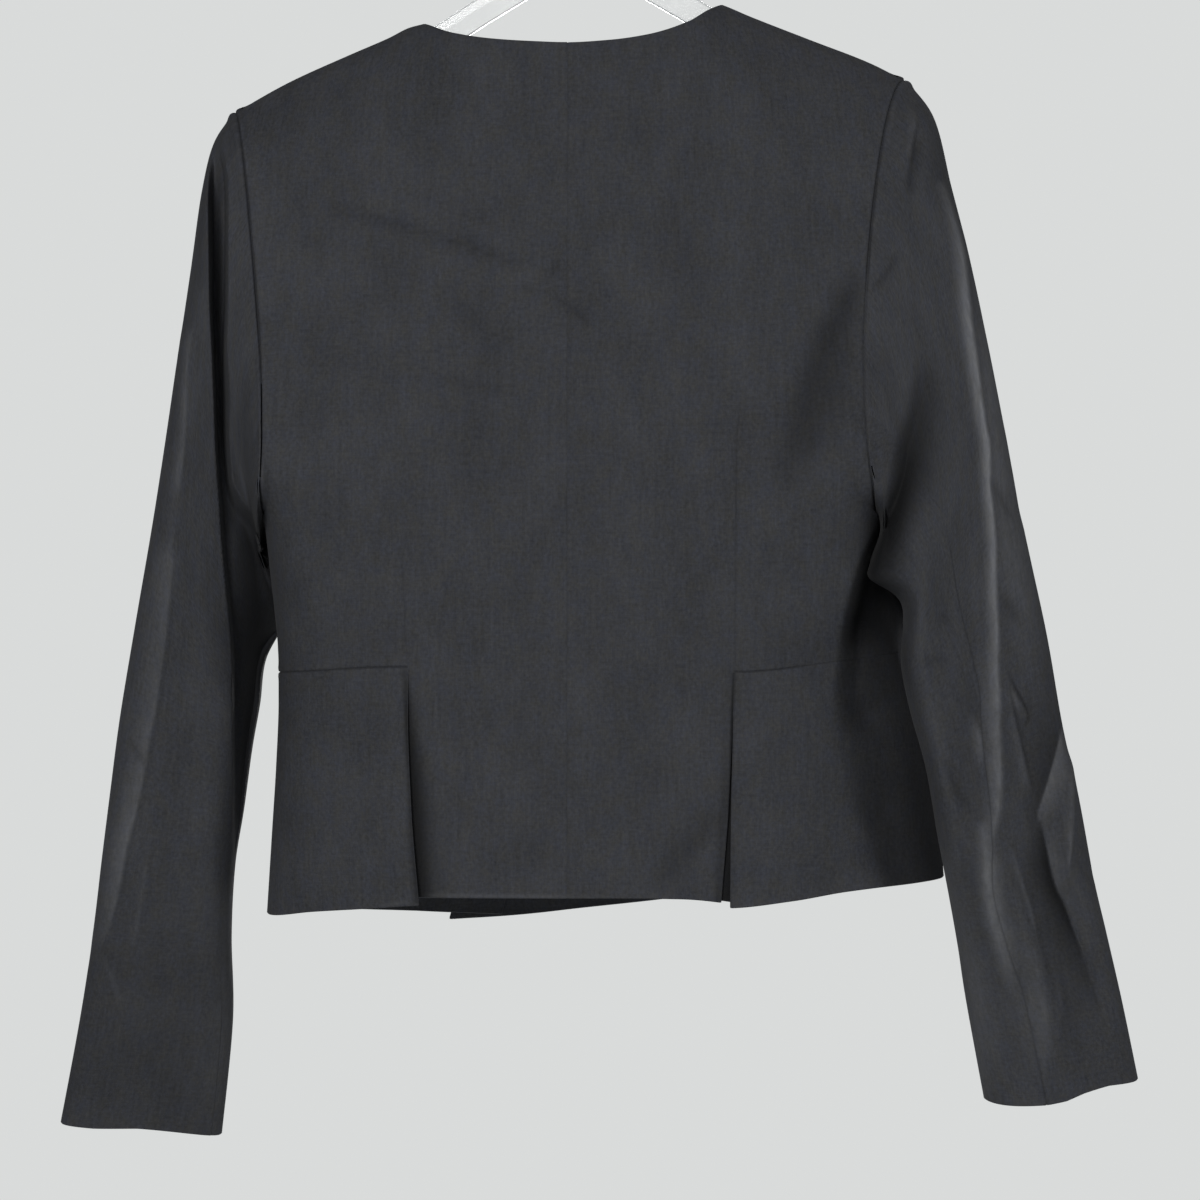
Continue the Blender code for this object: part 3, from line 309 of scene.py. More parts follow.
# Painted highlight and sheen: cloth painted paler along pressed crests, hem edges and the turned sides of sleeves and
# body, as creases with a share for a height.
PAINTED_HIGHLIGHT_MARKS = {
    0: (
        (((424, 895), (500, 896), (560, 896.5), (614, 897)), (0.16, 0.16, 0.12, 0.04), 2, 2, 0.8),
        (((372, 906), (396, 904), (416, 901)), 0.12, 2, 2, 0.8),
        (((868, 496), (860, 528), (851, 560), (843, 588), (840, 612)), (0.0, 0.15, 0.15, 0.1, 0.0), 13, 13, 1.0),
    ),
    -1: (
        (((193, 320), (187, 380), (184, 440), (178, 500)), 0.2, 7, 1.6, 0.6),
        (((172, 560), (167, 620), (158, 690), (147, 750), (138, 800), (126, 850), (117, 897), (107, 932)), (0.16, 0.16, 0.16, 0.2, 0.26, 0.34, 0.34, 0.16), 14, 2, 0.8),
        (((150, 735), (140, 757), (128, 776)), 0.18, 4, 3, 0.8),
        (((98, 948), (106, 968), (116, 992), (122, 1014)), 0.2, 2, 4, 0.8),
        (((235, 880), (233, 950), (230, 1000), (227, 1050), (223, 1128)), (0, 0.2, 0.2, 0.16, 0.1), 14, 10, 1),
        (((146, 855), (142, 897), (132, 955)), 0.12, 3, 2, 0.6),
    ),
    1: (
        (((942, 186), (950, 213), (958, 248), (962, 280), (967, 328), (972, 361), (977, 397), (981, 424), (985, 445),
          (986, 472), (988, 499), (990, 522), (992, 552), (992, 589), (994, 640), (993, 667), (994, 722), (996, 770),
          (996, 809), (992, 836)), (0.3, 0.7, 0.84, 0.92, 0.94, 0.9, 0.84, 0.66, 0.55, 0.55, 0.4), (5, 6, 6, 6, 6, 6, 7, 9, 9), (3, 3, 3, 2.6, 2.6, 3, 3, 4, 4), 0.4),
        (((958, 190), (974, 250), (988, 400), (1002, 500), (1016, 590), (1030, 670)), (0, 0.22, 0.28, 0.28, 0.22, 0), (12, 10, 9, 11, 15, 20), (20, 20, 20, 24, 30), 1),
        (((984, 828), (986, 870), (990, 905), (1002, 950), (1013, 990)), (0.4, 0.7, 0.64, 0.4, 0.15), 7, (8, 13, 16, 12), 0.9),
        (((950, 900), (962, 950), (972, 1000), (980, 1040), (987, 1086)), (0, 0.16, 0.2, 0.2, 0.1), 8, 15, 1),
        (((1012, 880), (1026, 930), (1038, 975), (1044, 1015), (1046, 1054)), (0, 0.12, 0.2, 0.22, 0.1), (14, 20, 26, 26, 18), 5, 1),
        (((1064, 726), (1057, 752), (1049, 780), (1039, 812)), (0.15, 0.36, 0.36, 0.2), 1.4, (10, 14, 16, 12), (1, 0.8)),
        (((1042, 820), (1056, 879), (1069, 907), (1082, 939)), (0.1, 0.3, 0.22, 0.05), 1.4, 12, (1, 0.8)),
        (((1004, 684), (1013, 702), (1019, 716)), 0.2, 7, 2, 0.8),
        (((1004, 700), (1015, 738), (1022, 767), (1031, 800)), 0.12, 6, 1.4, 0.9),
        (((1069, 745), (1071, 800), (1069, 850), (1064, 882)), 0.24, 5, 2, 0.7),
        (((1011, 845), (1019, 877), (1029, 907), (1037, 939)), 0.2, 3, 2, 0.7),
        (((970, 706), (978, 740), (981, 775)), 0.25, 5, 4, 1),
        (((914, 106), (912, 140), (908, 167)), 0.14, 4, 3, 0.8),
    ),
}
# Painted shade: cloth painted darker in folds, under edges and down the lower left sleeve, as creases with a share for
# a height.
PAINTED_SHADE_MARKS = {
    -1: (
        (((220, 150), (219, 200), (219, 260), (219, 330), (220, 400), (222, 440), (226, 470)),
         (0, 0.5, 0.6, 0.6, 0.5, 0.4, 0.1), (2.5, 3, 3, 3, 2, 2, 2), (3, 4, 4, 4, 4, 6, 6), 1),
        (((254, 494), (250, 522), (252, 560), (254, 610), (254, 660), (250, 720), (246, 790), (242, 840)),
         (0.2, 0.72, 0.75, 0.72, 0.7, 0.6, 0.4, 0), (10, 13, 16, 17, 16, 13, 9, 6), (16, 22, 24, 24, 22, 18, 12, 6), 1),
        (((204, 150), (202, 200), (203, 255), (205, 300)), 0.24, 9, 9, 1),
        (((120, 737), (136, 752), (151, 780)), 0.22, 3, 3, 0.8),
        (((101, 955), (108, 978), (117, 1002)), 0.14, 8, 1.6, 1),
        (((152, 830), (150, 900), (148, 980), (146, 1060), (144, 1140)), (0, 0.1, 0.2, 0.24, 0.26), 120, 120, 1),
    ),
    0: (
        (((328, 205), (360, 213), (384, 220), (420, 231), (462, 243), (498, 257), (540, 266)), (0, 0.3, 0.4, 0.28, 0.42, 0.38, 0), 2.8, 4.5, 0.5),
        (((310, 204), (384, 224), (470, 252), (536, 272)), 0.12, 8, 10, 1),
        (((562, 254), (555, 268), (547, 281)), 0.34, 2.6, 3, 0.6),
        (((512, 284), (532, 289), (550, 290)), 0.24, 4, 4, 0.9),
        (((544, 290), (562, 302), (580, 316), (600, 334)), 0.28, 3, 4.4, 0.7),
        (((440, 288), (474, 314), (510, 346)), 0.12, 16, 4, 0.9),
        (((425, 376), (470, 386), (520, 396)), 0.16, 5, 6, 1),
        (((856, 282), (846, 312), (830, 342), (813, 398), (802, 450), (788, 492)), (0.3, 0.5, 0.5, 0.54, 0.44, 0.1), (16, 16, 16, 18, 22, 22), (8, 16, 26, 32, 20, 16), 1),
        (((406, 672), (407, 712), (409.5, 750), (412, 780), (414.5, 820), (417.5, 860), (421, 898)), (0.4, 0.8, 0.95, 1, 1, 1, 1), (4, 4, 5, 6, 6), (4, 8, 13, 16, 16, 14), 1),
        (((406, 690), (407, 712), (409, 750), (411, 780), (413, 820), (416, 860), (420, 898)), (0, 0.2, 0.34, 0.42, 0.42, 0.42, 0.34), 1.2, (10, 16, 19, 20, 20), 1),
        (((726, 690), (725, 760), (722, 830), (718, 907)), (0.1, 0.3, 0.4, 0.5), 4, (7, 9, 11, 12), 1),
        (((733.5, 674), (732.5, 705), (731.5, 740), (730.5, 780), (729, 812)), (0.6, 0.95, 1, 1, 0.9), 2, 2, 0.9),
        (((655, 893), (690, 852), (728, 806)), 0.2, 6, 16, 0.9),
    ),
    1: (
        (((925, 352), (922, 395), (918, 420), (911, 449), (905, 477), (898, 502), (891, 524), (889, 545), (888, 576)),
         (0, 0.4, 0.55, 0.74, 0.95, 1, 1, 1, 1), (6, 10, 13, 15, 15, 14, 14, 14, 13), (9, 15, 20, 23, 23, 22, 20, 18, 17), 1),
        (((1040, 822), (1051, 879), (1063, 907), (1075, 939), (1086, 970), (1098, 1005), (1108, 1034)), (0.3, 0.85, 0.85, 0.74, 0.5, 0.3, 0), (12, 20, 22, 26, 32, 34, 26), 1.8, (0.5, 1)),
        (((1054, 940), (1060, 970), (1064, 1005), (1062, 1045), (1054, 1075)), (0, 0.3, 0.3, 0.24, 0), 4, (14, 18, 22, 16), 1),
        (((1061, 724), (1055, 750), (1047, 780), (1037, 810)), (0.3, 0.5, 0.5, 0.3), (32, 26, 15, 6), 1.2, (0.8, 1)),
        (((1003, 690), (1010, 711), (1019, 738), (1026, 767), (1036, 803)), (0.1, 0.34, 0.36, 0.3, 0.1), 1.2, 5, 0.8),
        (((988, 474), (1004, 503), (1020, 531)), 0.26, 5, 4, 0.8),
        (((996, 592), (1010, 606), (1024, 629)), 0.3, 6, 5, 0.9),
        (((1001, 672), (1014, 694), (1023, 710), (1024, 720), (1019, 731)), 0.5, 1.2, 3.6, 0.7),
        (((914, 668), (936, 662), (955, 668)), 0.24, 4, 6, 0.9),
        (((938, 612), (946, 618), (953, 626)), 0.22, 6, 6, 1),
        (((946, 752), (956, 786), (969, 806), (981, 818)), 0.32, 5, 6, 0.9),
        (((962, 690), (975, 712), (982, 742)), 0.2, 6, 4, 0.9),
        (((895, 600), (902, 644), (908, 690)), 0.3, 5, 5, 0.9),
        (((904, 244), (889, 269), (875, 286), (866, 297)), 0.34, 2, 4, 0.7),
        (((920, 128), (917, 146), (913, 173), (909, 204)), 0.4, 4, 6, 0.9),
    ),
}

# Seams: depth of the valley, its half width, and how much higher the cloth lies on the
# left of it in the picture, in mm.
SEAMS = {"armhole": (1.5, 0.75, 0.0), "waist": (0.9, 0.42, 0.0), "cb": (0.08, 0.6, 0.24), "side": (0.6, 1.0, 0.0),
         "shoulder": (0.9, 0.8, 0.0), "hind": (0.1, 0.7, 0.42), "fore": (0.4, 0.9, 0.2)}
# Share of painted shade along each kind of seam and along the darts.
SEAM_DARK = {"armhole": 0.4, "waist": 0.38, "cb": 0.13, "side": 0.2, "shoulder": 0.2, "hind": 0.24, "fore": 0.2, "dart": 0.18}
FAINT = {"armhole": (1, 250, 300, 425, 490, 0.6), "waist": (0, 775, 825, 2000, 2001, 0.6)}   # where a right-hand seam all but closes
DART_TOP = {-1: -428.0, 1: -340.0}

NEAR_SEAM = (3.0, 1.9, 1.1, 0.5)
PHI_BACK = tuple(np.concatenate([np.linspace(0, HIND_SEAM - 3.0, 97), [HIND_SEAM - d for d in NEAR_SEAM[1:]], [HIND_SEAM],
                                 [HIND_SEAM + d for d in NEAR_SEAM[:0:-1]], np.linspace(HIND_SEAM + 3.0, 180, 36)]))
PHI_FRONT = tuple(np.concatenate([np.linspace(180, FORE_SEAM - 3.0, 25), [FORE_SEAM - d for d in NEAR_SEAM[1:]], [FORE_SEAM],
                                  [FORE_SEAM + d for d in NEAR_SEAM[:0:-1]], np.linspace(FORE_SEAM + 3.0, 360, 42)]))
EDGE = (0.0, 0.4, 0.9, 1.6, 2.6, 4.0, 6.0)


# ------------------------------------------------------------- interpolation
def smooth(rows, x, col=1):
    t = np.array([[r[0], r[col]] for r in rows], float)
    t = t[np.argsort(t[:, 0])]
    xs, ys = t[:, 0], t[:, 1]
    h, d = np.diff(xs), np.diff(ys) / np.diff(xs)
    m = np.empty_like(ys)
    m[0], m[-1] = d[0], d[-1]
    for i in range(1, len(xs) - 1):
        if d[i - 1] * d[i] <= 0:
            m[i] = 0.0
        else:
            a, b = 2 * h[i] + h[i - 1], h[i] + 2 * h[i - 1]
            m[i] = (a + b) / (a / d[i - 1] + b / d[i])
    x = np.clip(np.asarray(x, float), xs[0], xs[-1])
    k = np.clip(np.searchsorted(xs, x) - 1, 0, len(h) - 1)
    s = (x - xs[k]) / h[k]
    return ((1 + 2 * s) * (1 - s) ** 2 * ys[k] + s * (1 - s) ** 2 * h[k] * m[k]
            + s * s * (3 - 2 * s) * ys[k + 1] + s * s * (s - 1) * h[k] * m[k + 1])


def spline(rows, k, col):
    y = np.array([r[col] for r in rows], float)
    k = np.asarray(k, float)
    i = np.clip(k.astype(int), 0, len(y) - 2)
    s = k - i
    p0, p1, p2, p3 = (y[np.clip(i + o, 0, len(y) - 1)] for o in (-1, 0, 1, 2))
    return 0.5 * (2 * p1 + (p2 - p0) * s + (2 * p0 - 5 * p1 + 4 * p2 - p3) * s ** 2
                  + (3 * p1 - p0 - 3 * p2 + p3) * s ** 3)


def ease(a, b, x):
    s = np.clip((np.asarray(x, float) - a) / (b - a), 0, 1)
    return s * s * (3 - 2 * s)


def graded(length, pitch, first=True, last=True):
    """Shares along a length: close together at a seam or hem, even between."""
    lo, hi = (EDGE if first else (0.0,)), (EDGE if last else (0.0,))
    start, end = lo[-1], length - hi[-1]
    mid = np.linspace(start, end, max(2, round((end - start) / pitch)) + 1)
    return np.concatenate([lo[:-1], mid, length - np.array(hi[:-1])[::-1]]) / length


# ---------------------------------------------------------------- the body
def roof(x):
    return smooth(ROOF, x)


def armhole_cos(side, z):
    tip_z = TIP[side][1]
    return np.clip((2 * z - tip_z - UNDERARM_Z) / (tip_z - UNDERARM_Z), -1, 1)


def armhole_deep(c, face):
    """Share of an armhole's half depth, from the cosine of the angle round it."""
    full = np.where((c < 0) & (face < 0), 2.0 + ARM_FULL * ease(0.0, 0.6, -c), 2.0)
    return np.sqrt(np.maximum(1 - np.abs(c) ** full, 0)) * np.where(face < 0, 1 + 0.28 * ease(0.1, 0.7, -c) + 0.3 * ease(0.6, 0.95, -c), 1.0)


def edge_x(side, z, face):
    a, tip_x = ARMHOLE[side], TIP[side][0]
    c = armhole_cos(side, z)
    bow = a["bow_back"] if face < 0 else a["bow_front"]
    arm = (tip_x + a["under"]) / 2 + (tip_x - a["under"]) / 2 * c - side * bow * np.sqrt(1 - c * c)
    return np.where(z >= UNDERARM_Z, arm, smooth(BODY, z, 1 if side < 0 else 2))


def body_y(x, z, face):
    x, z = np.broadcast_arrays(np.asarray(x, float), np.asarray(z, float))
    out = np.zeros(x.shape)
    for side in (-1, 1):
        u = np.clip((x - CENTRE_X) / (edge_x(side, z, face) - CENTRE_X), 0, 1)
        hang = np.maximum(roof(x) - z, 0)
        full = smooth(BODY, z, 3 if face < 0 else 4) * (1 - np.exp(-hang / SHOULDER_ROLL)) ** 0.7
        a = ARMHOLE[side]
        c = armhole_cos(side, z)
        rim = np.where(z >= UNDERARM_Z, (a["back"] if face < 0 else a["front"]) * armhole_deep(c, face), 0)
        w = u ** (ROUND + (FULLER * np.exp(-((z - UNDERARM_Z + 14.0) / 48.0) ** 2) if face < 0 else 0))
        y = np.sqrt(np.maximum(rim ** 2 * w + full ** 2 * (1 - w), 0))
        out = np.where((x - CENTRE_X) * side >= 0, y, out)
    return face * out


def neck_front(x):
    half = (NECK[1] - NECK[-1]) / 2
    r = np.clip(np.abs(x - (NECK[-1] + NECK[1]) / 2) / half, 0, 1)
    level = roof(NECK[-1]) + (roof(NECK[1]) - roof(NECK[-1])) * (x - NECK[-1]) / (2 * half)
    return level - FRONT_NECK_DROP * (1 - r ** 2.2)


def front_edge(side, z):
    return smooth(CENTRE_FRONT, z) - side * OVERLAP


def lift_front(side, x, z):
    if side < 0:
        return 0.0 * x
    return OVERLAP_LIFT * (1 - ease(OVERLAP + 4.0, OVERLAP + 34.0, x - smooth(CENTRE_FRONT, z)))


INNER = graded(92.0, 2.3)
OUTER = graded(100.0, 2.3)
FRONT_IN = graded(96.0, 2.6)
FRONT_OUT = graded(104.0, 2.6)
SKIRT = graded(132.0, 2.2)


def panel_rows(phis):
    return (1 - np.cos(np.radians(np.asarray(phis, float)))) / 2


def side_rows():
    """Shares from the underarm to the waist seam, finer at the seam."""
    return graded(92.0, 2.6, first=False)[1:]


def back_half(side):
    share, low = panel_rows(PHI_BACK), side_rows()
    n, k = len(share) + len(low), len(INNER) - 1
    cols = len(INNER) + len(OUTER) - 1
    grid = np.zeros((n + len(SKIRT) - 1, cols, 3))
    x_top = np.concatenate([CENTRE_X + INNER * (NECK[side] - CENTRE_X),
                            NECK[side] + OUTER[1:] * (TIP[side][0] - NECK[side])])
    z_top = np.where(np.arange(cols) < k, smooth(NECK_BACK, x_top), roof(x_top))
    for i in range(n):
        z = z_top + share[i] * (UNDERARM_Z - z_top) if i < len(share) else None
        for _ in range(2):   # the waist seam's level depends on where round the body it is
            if i >= len(share):
                level = waist_back(side)
                z = UNDERARM_Z + (level - UNDERARM_Z) * low[i - len(share)]
            mid = smooth(DART[side], z[k])
        x_edge = edge_x(side, z, -1)
        x = np.concatenate([CENTRE_X + INNER * (mid - CENTRE_X), mid + OUTER[1:] * (x_edge[k + 1:] - mid)])
        if i == 0:
            x = x_top
        y = body_y(x, z, -1)
        if i < len(share):
            y[-1] = -ARMHOLE[side]["back"] * armhole_deep(math.cos(math.radians(PHI_BACK[i])), -1)
        grid[i] = np.stack([x, y, z], -1)
    for r in range(1, len(SKIRT)):
        s = SKIRT[r]
        x = CENTRE_X + INNER * (smooth(VENT[side], s, 2) - CENTRE_X)
        u = (x - CENTRE_X) / (edge_x(side, np.array(-600.0), -1) - CENTRE_X)
        z = smooth(WAIST[side], u) + (smooth(CENTRE_HEM[side], u) - smooth(WAIST[side], u)) * s
        grid[n - 1 + r, :k + 1] = np.stack([x, body_y(x, z, -1), z], -1)
    soften(grid, n, -1)
    keep = np.ones((grid.shape[0] - 1, cols - 1), bool)
    keep[n - 1:, k:] = False
    return grid, keep


def soften(grid, n, face, reach=13.0):
    """Evens the depth of a panel up and down. The seams round it keep theirs."""
    g = grid[:n]
    gap = np.linalg.norm(g - g[:, -1:], axis=-1)
    ends = np.minimum(np.abs(g[..., 2] - g[:1, :, 2]), np.abs(g[..., 2] - g[-1:, :, 2]))
    steps = np.linspace(-2.4, 2.4, 15)
    w = np.exp(-0.5 * steps ** 2)
    even = sum(v * body_y(g[..., 0], g[..., 2] + d * reach, face) for v, d in zip(w / w.sum(), steps))
    plain = body_y(g[..., 0], g[..., 2], face)
    grid[:n, :, 1] += (even - plain) * ease(0, 8.0, gap) * ease(0, 20.0, ends)


def waist_back(side):
    """Level of the waist seam at each column of a back half."""
    edge = edge_x(side, np.array(-508.0), -1)
    mid = (VENT[side][0][1] - CENTRE_X) / (edge - CENTRE_X)
    u = np.concatenate([INNER * mid, mid + OUTER[1:] * (1 - mid)])
    return smooth(WAIST[side], u)


def front_half(side):
    phis = [360 - p for p in reversed(PHI_FRONT)]
    share, low = panel_rows(phis), side_rows()
    n, k = len(share) + len(low), len(FRONT_IN) - 1
    edge0 = front_edge(side, np.array(-150.0))
    x_top = np.concatenate([edge0 + FRONT_IN * (NECK[side] - edge0),
                            NECK[side] + OUTER[1:] * (TIP[side][0] - NECK[side])])
    z_top = np.where(np.arange(len(x_top)) < k, neck_front(x_top), roof(x_top))
    grid = np.zeros((n, len(x_top), 3))
    for i in range(n):
        if i < len(share):
            z = z_top + share[i] * (UNDERARM_Z - z_top)
        else:
            z = UNDERARM_Z + (waist_front(side) - UNDERARM_Z) * low[i - len(share)]
        x_edge, x_front = edge_x(side, z, 1), front_edge(side, z)
        f = i / (n - 1)
        mid = NECK[side] + (side * 88.0 + CENTRE_X - NECK[side]) * f
        x = np.concatenate([x_front[:k + 1] + FRONT_IN * (mid - x_front[:k + 1]),
                            mid + OUTER[1:] * (x_edge[k + 1:] - mid)])
        if i == 0:
            x = x_top
        y = body_y(x, z, 1) + lift_front(side, x, z)
        if i < len(share):
            y[-1] = ARMHOLE[side]["front"] * math.sin(math.radians(phis[i]))
        grid[i] = np.stack([x, y, z], -1)
    soften(grid, n, 1)
    return grid, np.ones((n - 1, len(x_top) - 1), bool)


def front_shares(side):
    """Share from the centre front to the side of each column at the waist."""
    edge, front = edge_x(side, np.array(-508.0), 1), front_edge(side, np.array(-512.0))
    mid = (side * 88.0 + CENTRE_X - front) / (edge - front)
    return np.concatenate([FRONT_IN * mid, mid + OUTER[1:] * (1 - mid)])


def waist_front(side):
    return smooth(WAIST[side], 2 - front_shares(side))


def peplum(side):
    level = waist_back(side)[len(INNER) - 1:]
    edge = edge_x(side, np.array(-508.0), -1)
    first = (VENT[side][0][1] - CENTRE_X) / (edge - CENTRE_X)
    w_back = first + OUTER * (1 - first)
    share_front = front_shares(side)
    w_front = 2 - share_front
    k = len(FRONT_IN) - 1
    rows = []
    for s in SKIRT:
        vent_x, lift = smooth(VENT[side], s, 1), smooth(VENT[side], s, 3)
        z = level + (smooth(HEM[side], w_back) - level) * s
        mid = vent_x if s > 0 else smooth(DART[side], z[0])
        x = mid + OUTER * (edge_x(side, z, -1) - mid)
        y = body_y(x, z, -1) - lift * (1 - ease(0, 0.75, OUTER))
        y[-1] = 0.0
        back = np.stack([x, y, z], -1)
        top = smooth(WAIST[side], w_front)
        z = top + (smooth(HEM[side], w_front) - top) * s
        front = front_edge(side, z)
        mid = side * 88.0 + CENTRE_X + 8.0 * side * s
        x = np.concatenate([front[:k + 1] + FRONT_IN * (mid - front[:k + 1]),
                            mid + OUTER[1:] * (edge_x(side, z, 1)[k + 1:] - mid)])
        y = body_y(x, z, 1) + lift_front(side, x, z)
        y[-1] = 0.0
        rows.append(np.concatenate([back, np.stack([x, y, z], -1)[::-1][1:]]))
    grid = np.array(rows)
    return grid, np.ones((grid.shape[0] - 1, grid.shape[1] - 1), bool)


def underlay(side):
    u, rows = UNDERLAY, []
    across = graded(26.0, 2.2)
    for s in graded(122.0, 3.0):
        x = smooth(VENT[side], s, 2) + side * (-u["inside"] + across * (u["inside"] + u["outside"]))
        w = np.abs(x - CENTRE_X) / np.abs(edge_x(side, np.array(-580.0), -1) - CENTRE_X)
        top, low = smooth(WAIST[side], w) - u["top"], smooth(CENTRE_HEM[side], w) + u["short"]
        z = top + (low - top) * s
        rows.append(np.stack([x, body_y(x, z, -1) + u["inset"], z], -1))
    grid = np.array(rows)
    return grid, np.ones((grid.shape[0] - 1, grid.shape[1] - 1), bool)


# -------------------------------------------------------------- the sleeves
def sleeve_point(side, k, phi):
    col = lambda c: spline(SLEEVE[side], k, c)
    at = np.degrees(phi)
    near = np.where(at <= HIND_SEAM, at / HIND_SEAM, np.clip((FORE_SEAM - at) / (FORE_SEAM - HIND_SEAM), 0, 1))
    phi = phi + np.radians(smooth(HIND_LINE[side], k) - HIND_SEAM) * near
    c, s = np.cos(phi), np.sin(phi)
    a = ARMHOLE[side]
    bow = np.where(s >= 0, a["bow_back"] * (1 - ease(0, 4.0, k)), a["bow_front"] * (1 - ease(0, 2.2, k)))
    x = (col(0) + col(2)) / 2 + (col(0) - col(2)) / 2 * c - side * bow * np.abs(s)
    dip = s * np.abs(s) * np.clip(1 - 1.8 * c, 0, 1) - 0.42 * (side > 0) * np.maximum(s, 0) * np.clip(2.2 * c + 0.5, 0, 1)
    z = (col(1) + col(3)) / 2 + (col(1) - col(3)) / 2 * c - col(7) * dip
    full = 2.0 + np.where(s >= 0, SLEEVE_FULL[side], 1.0)   # pressed flatter than a round tube
    flat, start = np.sqrt(np.maximum(1 - np.abs(c) ** full, 0)), armhole_deep(c, np.where(s >= 0, -1, 1))
    deep = np.sign(s) * (start + (flat - start) * ease(0.0, 3.0, k))
    y = col(4) - np.where(s >= 0, col(5), col(6)) * deep + col(8) * ((1 - c) / 2) ** 2
    return np.stack([x, y, z], -1)


def sleeve_stations():
    """Section numbers down a sleeve, close together at the armhole and the cuff."""
    last = len(SLEEVE[1]) - 1
    k = np.concatenate([np.linspace(0, 0.3, 9)[:-1], np.linspace(0.3, last - 0.12, 262), last - np.array([0.09, 0.06, 0.04, 0.025, 0.012, 0.0])])
    return k


def sleeve_piece(side, phis):
    phi = np.radians(np.asarray(phis, float))
    grid = np.array([sleeve_point(side, np.full(len(phi), q), phi) for q in sleeve_stations()])
    return grid, np.ones((grid.shape[0] - 1, grid.shape[1] - 1), bool)


# ---------------------------------------------------------------- creases
def seen(p):
    """Where a point shows in the picture, in picture points."""
    f = 2000.0 / (2000.0 + p[..., 1]) / POINT
    return np.stack([600 + (p[..., 0] - EYE[0]) * f, 600 - (p[..., 2] - EYE[2]) * f], -1)


def fine_line(points, n=8):
    rows = [(i, *p) for i, p in enumerate(points)]
    k = np.linspace(0, len(points) - 1, (len(points) - 1) * n + 1)
    return np.stack([spline(rows, k, 1), spline(rows, k, 2)], -1)


def line_field(q, points):
    """Signed distance to a line, positive on the right of one drawn downwards, and the share along it."""
    line = fine_line(points)
    a, b = line[:-1], line[1:]
    run = np.linalg.norm(b - a, axis=1)
    start = np.concatenate([[0], np.cumsum(run)[:-1]]) / run.sum()
    best = np.full(q.shape[:-1], 1e9)
    sign, along = np.ones(q.shape[:-1]), np.zeros(q.shape[:-1])
    for i in range(len(a)):
        d = b[i] - a[i]
        t = np.clip(((q - a[i]) @ d) / (d @ d), 0, 1)
        off = q - a[i] - t[..., None] * d
        dist = np.hypot(off[..., 0], off[..., 1])
        near = dist < best
        best = np.where(near, dist, best)
        cross = d[1] * (q[..., 0] - a[i][0]) - d[0] * (q[..., 1] - a[i][1])
        sign = np.where(near, np.where(cross > 0, 1.0, -1.0), sign)
        along = np.where(near, start[i] + t * run[i] / run.sum(), along)
    return best * sign, along


def spread(values, share):
    """A value, or a list of values evenly down a line, at a share along it."""
    v = np.atleast_1d(np.asarray(values, float))
    return np.interp(share, np.linspace(0, 1, len(v)), v) if len(v) > 1 else np.full(np.shape(share), v[0])


def crease(q, row):
    """Height in mm of one crease at picture points q."""
    points, height, left, right, roundness = row
    pad = 2.4 * max(np.max(left), np.max(right))
    pts = np.array(points, float)
    out = np.zeros(q.shape[:-1])
    near = ((q[..., 0] > pts[:, 0].min() - pad) & (q[..., 0] < pts[:, 0].max() + pad)
            & (q[..., 1] > pts[:, 1].min() - pad) & (q[..., 1] < pts[:, 1].max() + pad))
    if not near.any():
        return out
    d, s = line_field(q[near], points)
    t = np.abs(d) / np.where(d > 0, spread(right, s), spread(left, s))
    first, second = roundness if isinstance(roundness, tuple) else (roundness, roundness)
    r = np.where(d > 0, spread(second, s), spread(first, s))
    curved, straight = np.clip(r, 0, 1), np.clip(-r, 0, 1)
    shape = curved * np.exp(-t * t) + (1 - curved) * np.clip(1 - t / 2, 0, 1) ** 2
    shape = shape + straight * (np.clip(1 - t, 0, 1) - shape)
    tip = min(0.45, 26.0 / np.linalg.norm(np.diff(pts, axis=0), axis=1).sum())
    taper = ease(0, tip, s) * ease(0, tip, 1 - s) if np.isscalar(height) else 1.0
    out[near] = spread(height, s) * shape * taper
    return out


def groove_depth(q):
    """How far the left sleeve's deep fold goes in at picture points q."""
    lip, depth = smooth(GROOVE, q[..., 1], 1), smooth(GROOVE, q[..., 1], 2)
    left, floor, right = (smooth(GROOVE, q[..., 1], c) for c in (3, 4, 5))
    d = q[..., 0] - lip
    return depth * ease(-left, 0, d) * (1 - ease(0, 1, (d - floor) / right))


def faint(kind, q):
    """Share of its depth that a seam on the right keeps at picture points q."""
    axis, a, b, c, d, loss = FAINT[kind]
    return 1 - loss * ease(a, b, q[..., axis]) * (1 - ease(c, d, q[..., axis])) * (q[..., 0] > 700)


